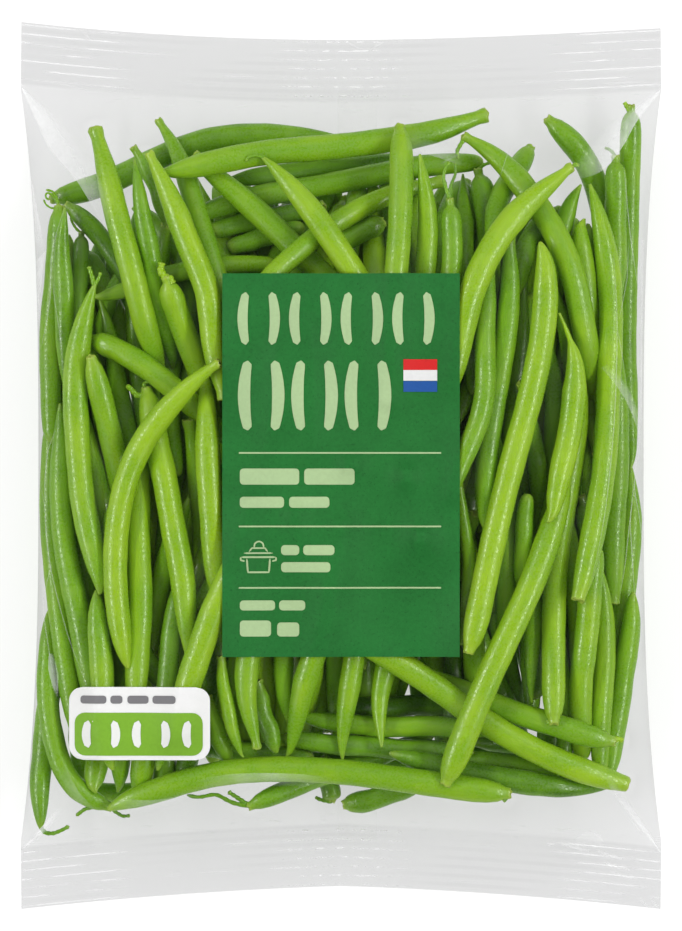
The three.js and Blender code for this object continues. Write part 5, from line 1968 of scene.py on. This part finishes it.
@dataclass
class Artwork:
    """The plain print on the label and the sticker: pods, bars, rules, stripes and a pot."""

    label: Patch
    sticker: Patch

    def _pods(
        self,
        ink: Print,
        count: int,
        across: tuple[float, float],
        down: tuple[float, float],
        bend: float,
        width: float,
    ) -> None:
        """Adds a row of upright pods that bow left and right by turns.

        Args:
            ink: the print that takes them.
            count: how many.
            across: the first one's place and the step to the next.
            down: their top and bottom.
            bend: how far they bow.
            width: how wide they are.
        """
        for k in range(count):
            x, top, height = across[0] + across[1] * k, down[0], down[1] - down[0]
            side = bend if k % 2 else -bend
            bows = ((0.0, 0.0), (0.75, 0.25), (1.0, 0.5), (0.75, 0.75))
            line = sum(((x + side * out, top + height * way) for out, way in bows), ())
            ink.stroke((*line, x, down[1]), width, 0.45)

    def _pale(self) -> None:
        """The label's pale ink."""
        ink = Print("label_print", self.label, "label_green")
        self._pods(ink, 8, (247, 25.6), (294, 346), 3.5, 7.0)
        self._pods(ink, 6, (249, 26.5), (362, 431), 4.0, 8.5)
        for y in (453.5, 526.5, 587.5):
            ink.bar(240, y - 0.8, 441, y + 0.8, 0.1)
        for sides in WORD_BARS:
            ink.bar(*sides, 1.1)
        for line, width in POT:
            ink.stroke(line, width)
        ink.build(Printed("ink_pale", (0.42, 0.58, 0.30), 0.6, 0.07).build())

    def _stripes(self) -> None:
        """The three plain stripes."""
        for name, top, colour in (
            ("stripe_red", 360.5, (0.68, 0.022, 0.022)),
            ("stripe_white", 371.2, (0.80, 0.80, 0.79)),
            ("stripe_blue", 382.2, (0.020, 0.098, 0.36)),
        ):
            ink = Print(name, self.label, "label_green")
            ink.bar(403.5, top, 437, top + 10.6, 0.02)
            ink.build(Printed(f"ink_{name}", colour, 0.6, 0.05).build())

    def _sticker(self) -> None:
        """The sticker's grey line of bars, and its green band with white pods."""
        grey = Print("sticker_bars", self.sticker, "sticker_white")
        for left, right in ((82, 108), (112, 124), (129, 150), (154, 177)):
            grey.bar(left, 695, right, 703, 0.9)
        grey.build(Printed("ink_grey", (0.21, 0.205, 0.215), 0.6, 0.05).build())
        band = Print("sticker_band", self.sticker, "sticker_white", 0.14)
        band.bar(76, 712, 204, 755, 3.2)
        band.build(Printed("ink_green", (0.215, 0.45, 0.035), 0.55, 0.08).build())
        pods = Print("sticker_pods", self.sticker, "sticker_white", 0.30)
        self._pods(pods, 5, (90, 25), (720, 747), 3.0, 6.0)
        pods.build(Printed("ink_white", (0.86, 0.87, 0.84), 0.55, 0.03).build())

    def build(self) -> None:
        """Prints everything."""
        self._pale()
        self._stripes()
        self._sticker()
        log.info("artwork printed")


# ---- studio
@dataclass
class Studio:
    """The pale floor, the soft lights and the camera."""

    distance: float = 4.0
    seal_height: float = 0.016
    floor_height: float = -0.02
    box_length: float = 1.5
    view_width: float = 682 * SHEET_SCALE * MM

    def camera(self) -> None:
        """A long lens straight above, so that the sheet's width fills the picture's."""
        data = bpy.data.cameras.new("camera")
        data.sensor_fit = "HORIZONTAL"
        data.sensor_width = 36.0
        data.lens = 36.0 * self.distance / self.view_width
        data.clip_start, data.clip_end = 0.1, 50.0
        camera = bpy.data.objects.new("camera", data)
        camera.location = (0.0, 0.0, self.distance + self.seal_height)
        bpy.context.scene.collection.objects.link(camera)
        bpy.context.scene.camera = camera

    def floor(self) -> None:
        """A large white floor that glows a little, as a lit table does."""
        size = 3.0
        corners = np.array([[-1, -1, 0], [1, -1, 0], [1, 1, 0], [-1, 1, 0]], float) * size / MM
        corners[:, 2] = self.floor_height
        material, g = Graph.material("floor_white")
        paint = g.add("BsdfDiffuse", Color=(0.35, 0.35, 0.35))
        glow = g.add("Emission", Color=WHITE, Strength=0.72)
        g.surface(g.add("AddShader", in0=paint, in1=glow))
        square = MeshData(corners, np.array([[0, 1, 2, 3]]))
        piece = square.to_object("floor", material, smooth=False)

    def light(
        self, name: str, place: Triple, breadth: float, power: float, gloss: bool = False
    ) -> None:
        """A soft box aimed at the bag.

        Args:
            name: its name.
            place: where it hangs, in metres.
            breadth: its narrow side, in metres.
            power: its power, in watts.
            gloss: whether it only makes highlights.
        """
        data = bpy.data.lights.new(name, "AREA")
        data.shape = "RECTANGLE"
        data.size, data.size_y = self.box_length, breadth
        data.energy = power
        lamp = bpy.data.objects.new(name, data)
        lamp.location = place
        lamp.rotation_mode = "QUATERNION"
        lamp.rotation_quaternion = (-Vector(place)).to_track_quat("-Z", "Y")
        lamp.visible_camera = False
        lamp.visible_diffuse = not gloss
        lamp.visible_glossy = gloss
        bpy.context.scene.collection.objects.link(lamp)

    def build(self) -> None:
        """Sets the whole studio up."""
        scene = bpy.context.scene
        world = bpy.data.worlds.new("studio")
        world.use_nodes = True
        sky = world.node_tree.nodes["Background"]
        sky.inputs["Color"].default_value = (*WHITE, 1.0)
        sky.inputs["Strength"].default_value = 0.54
        world.cycles_visibility.glossy = False
        scene.world = world
        scene.view_settings.view_transform = "Standard"
        scene.cycles.max_bounces = 4
        scene.cycles.diffuse_bounces = 2
        scene.cycles.glossy_bounces = 1
        self.floor()
        self.light("strip_left", (-1.0, 0.1, 1.2), 0.16, 7.0)
        self.light("strip_right", (0.95, 0.0, 1.25), 0.16, 9.0)
        self.light("strip_top", (0.0, 1.0, 1.2), 0.16, 2.5)
        self.light("gloss_left", (-1.3, 0.1, 0.88), 0.25, 24.0, gloss=True)
        self.light("gloss_right", (1.13, 0.0, 1.09), 0.25, 21.0, gloss=True)
        self.light("gloss_top", (0.0, 1.0, 1.2), 0.16, 4.0, gloss=True)
        self.camera()


def main() -> None:
    """Builds the bag, then the studio, and logs the beans, the film, the back seam, the glints and
    the artwork as they are made.
    """
    packing = Packing()
    packing.settle()
    log.info("settled %d beans", len(packing.radius))
    beans = Beans(packing, BeanSkin().build())
    beans.build()
    film = Film(FORM)
    film.build(beans.tops, ClearFilm().build())
    # one white finish: painted highlights on the glints, real milk on the back seam
    milk_and_glint_finish = FilmMilkAndGlint().build()
    BackSeam(film).build(milk_and_glint_finish)
    Glints(film).build(milk_and_glint_finish)
    label = Patch("label_fine", "front_label", (0.0, 0.1), 71.7, 115.9, 0.01)
    label.build(film, Printed("label_green", (0.016, 0.168, 0.030), 0.65, 0.16, 0.5).build())
    sticker = Patch("sticker_fine", "sticker", (-61.0, -78.1), 42.8, 22.2, 4.3, columns=60, rows=50)
    sticker.build(film, Printed("sticker_white", (0.9, 0.9, 0.89), 0.45, 0.02).build())
    Artwork(label, sticker).build()
    Studio().build()


if __name__ == "__main__":
    logging.basicConfig(level=logging.INFO, format="%(message)s")
    main()
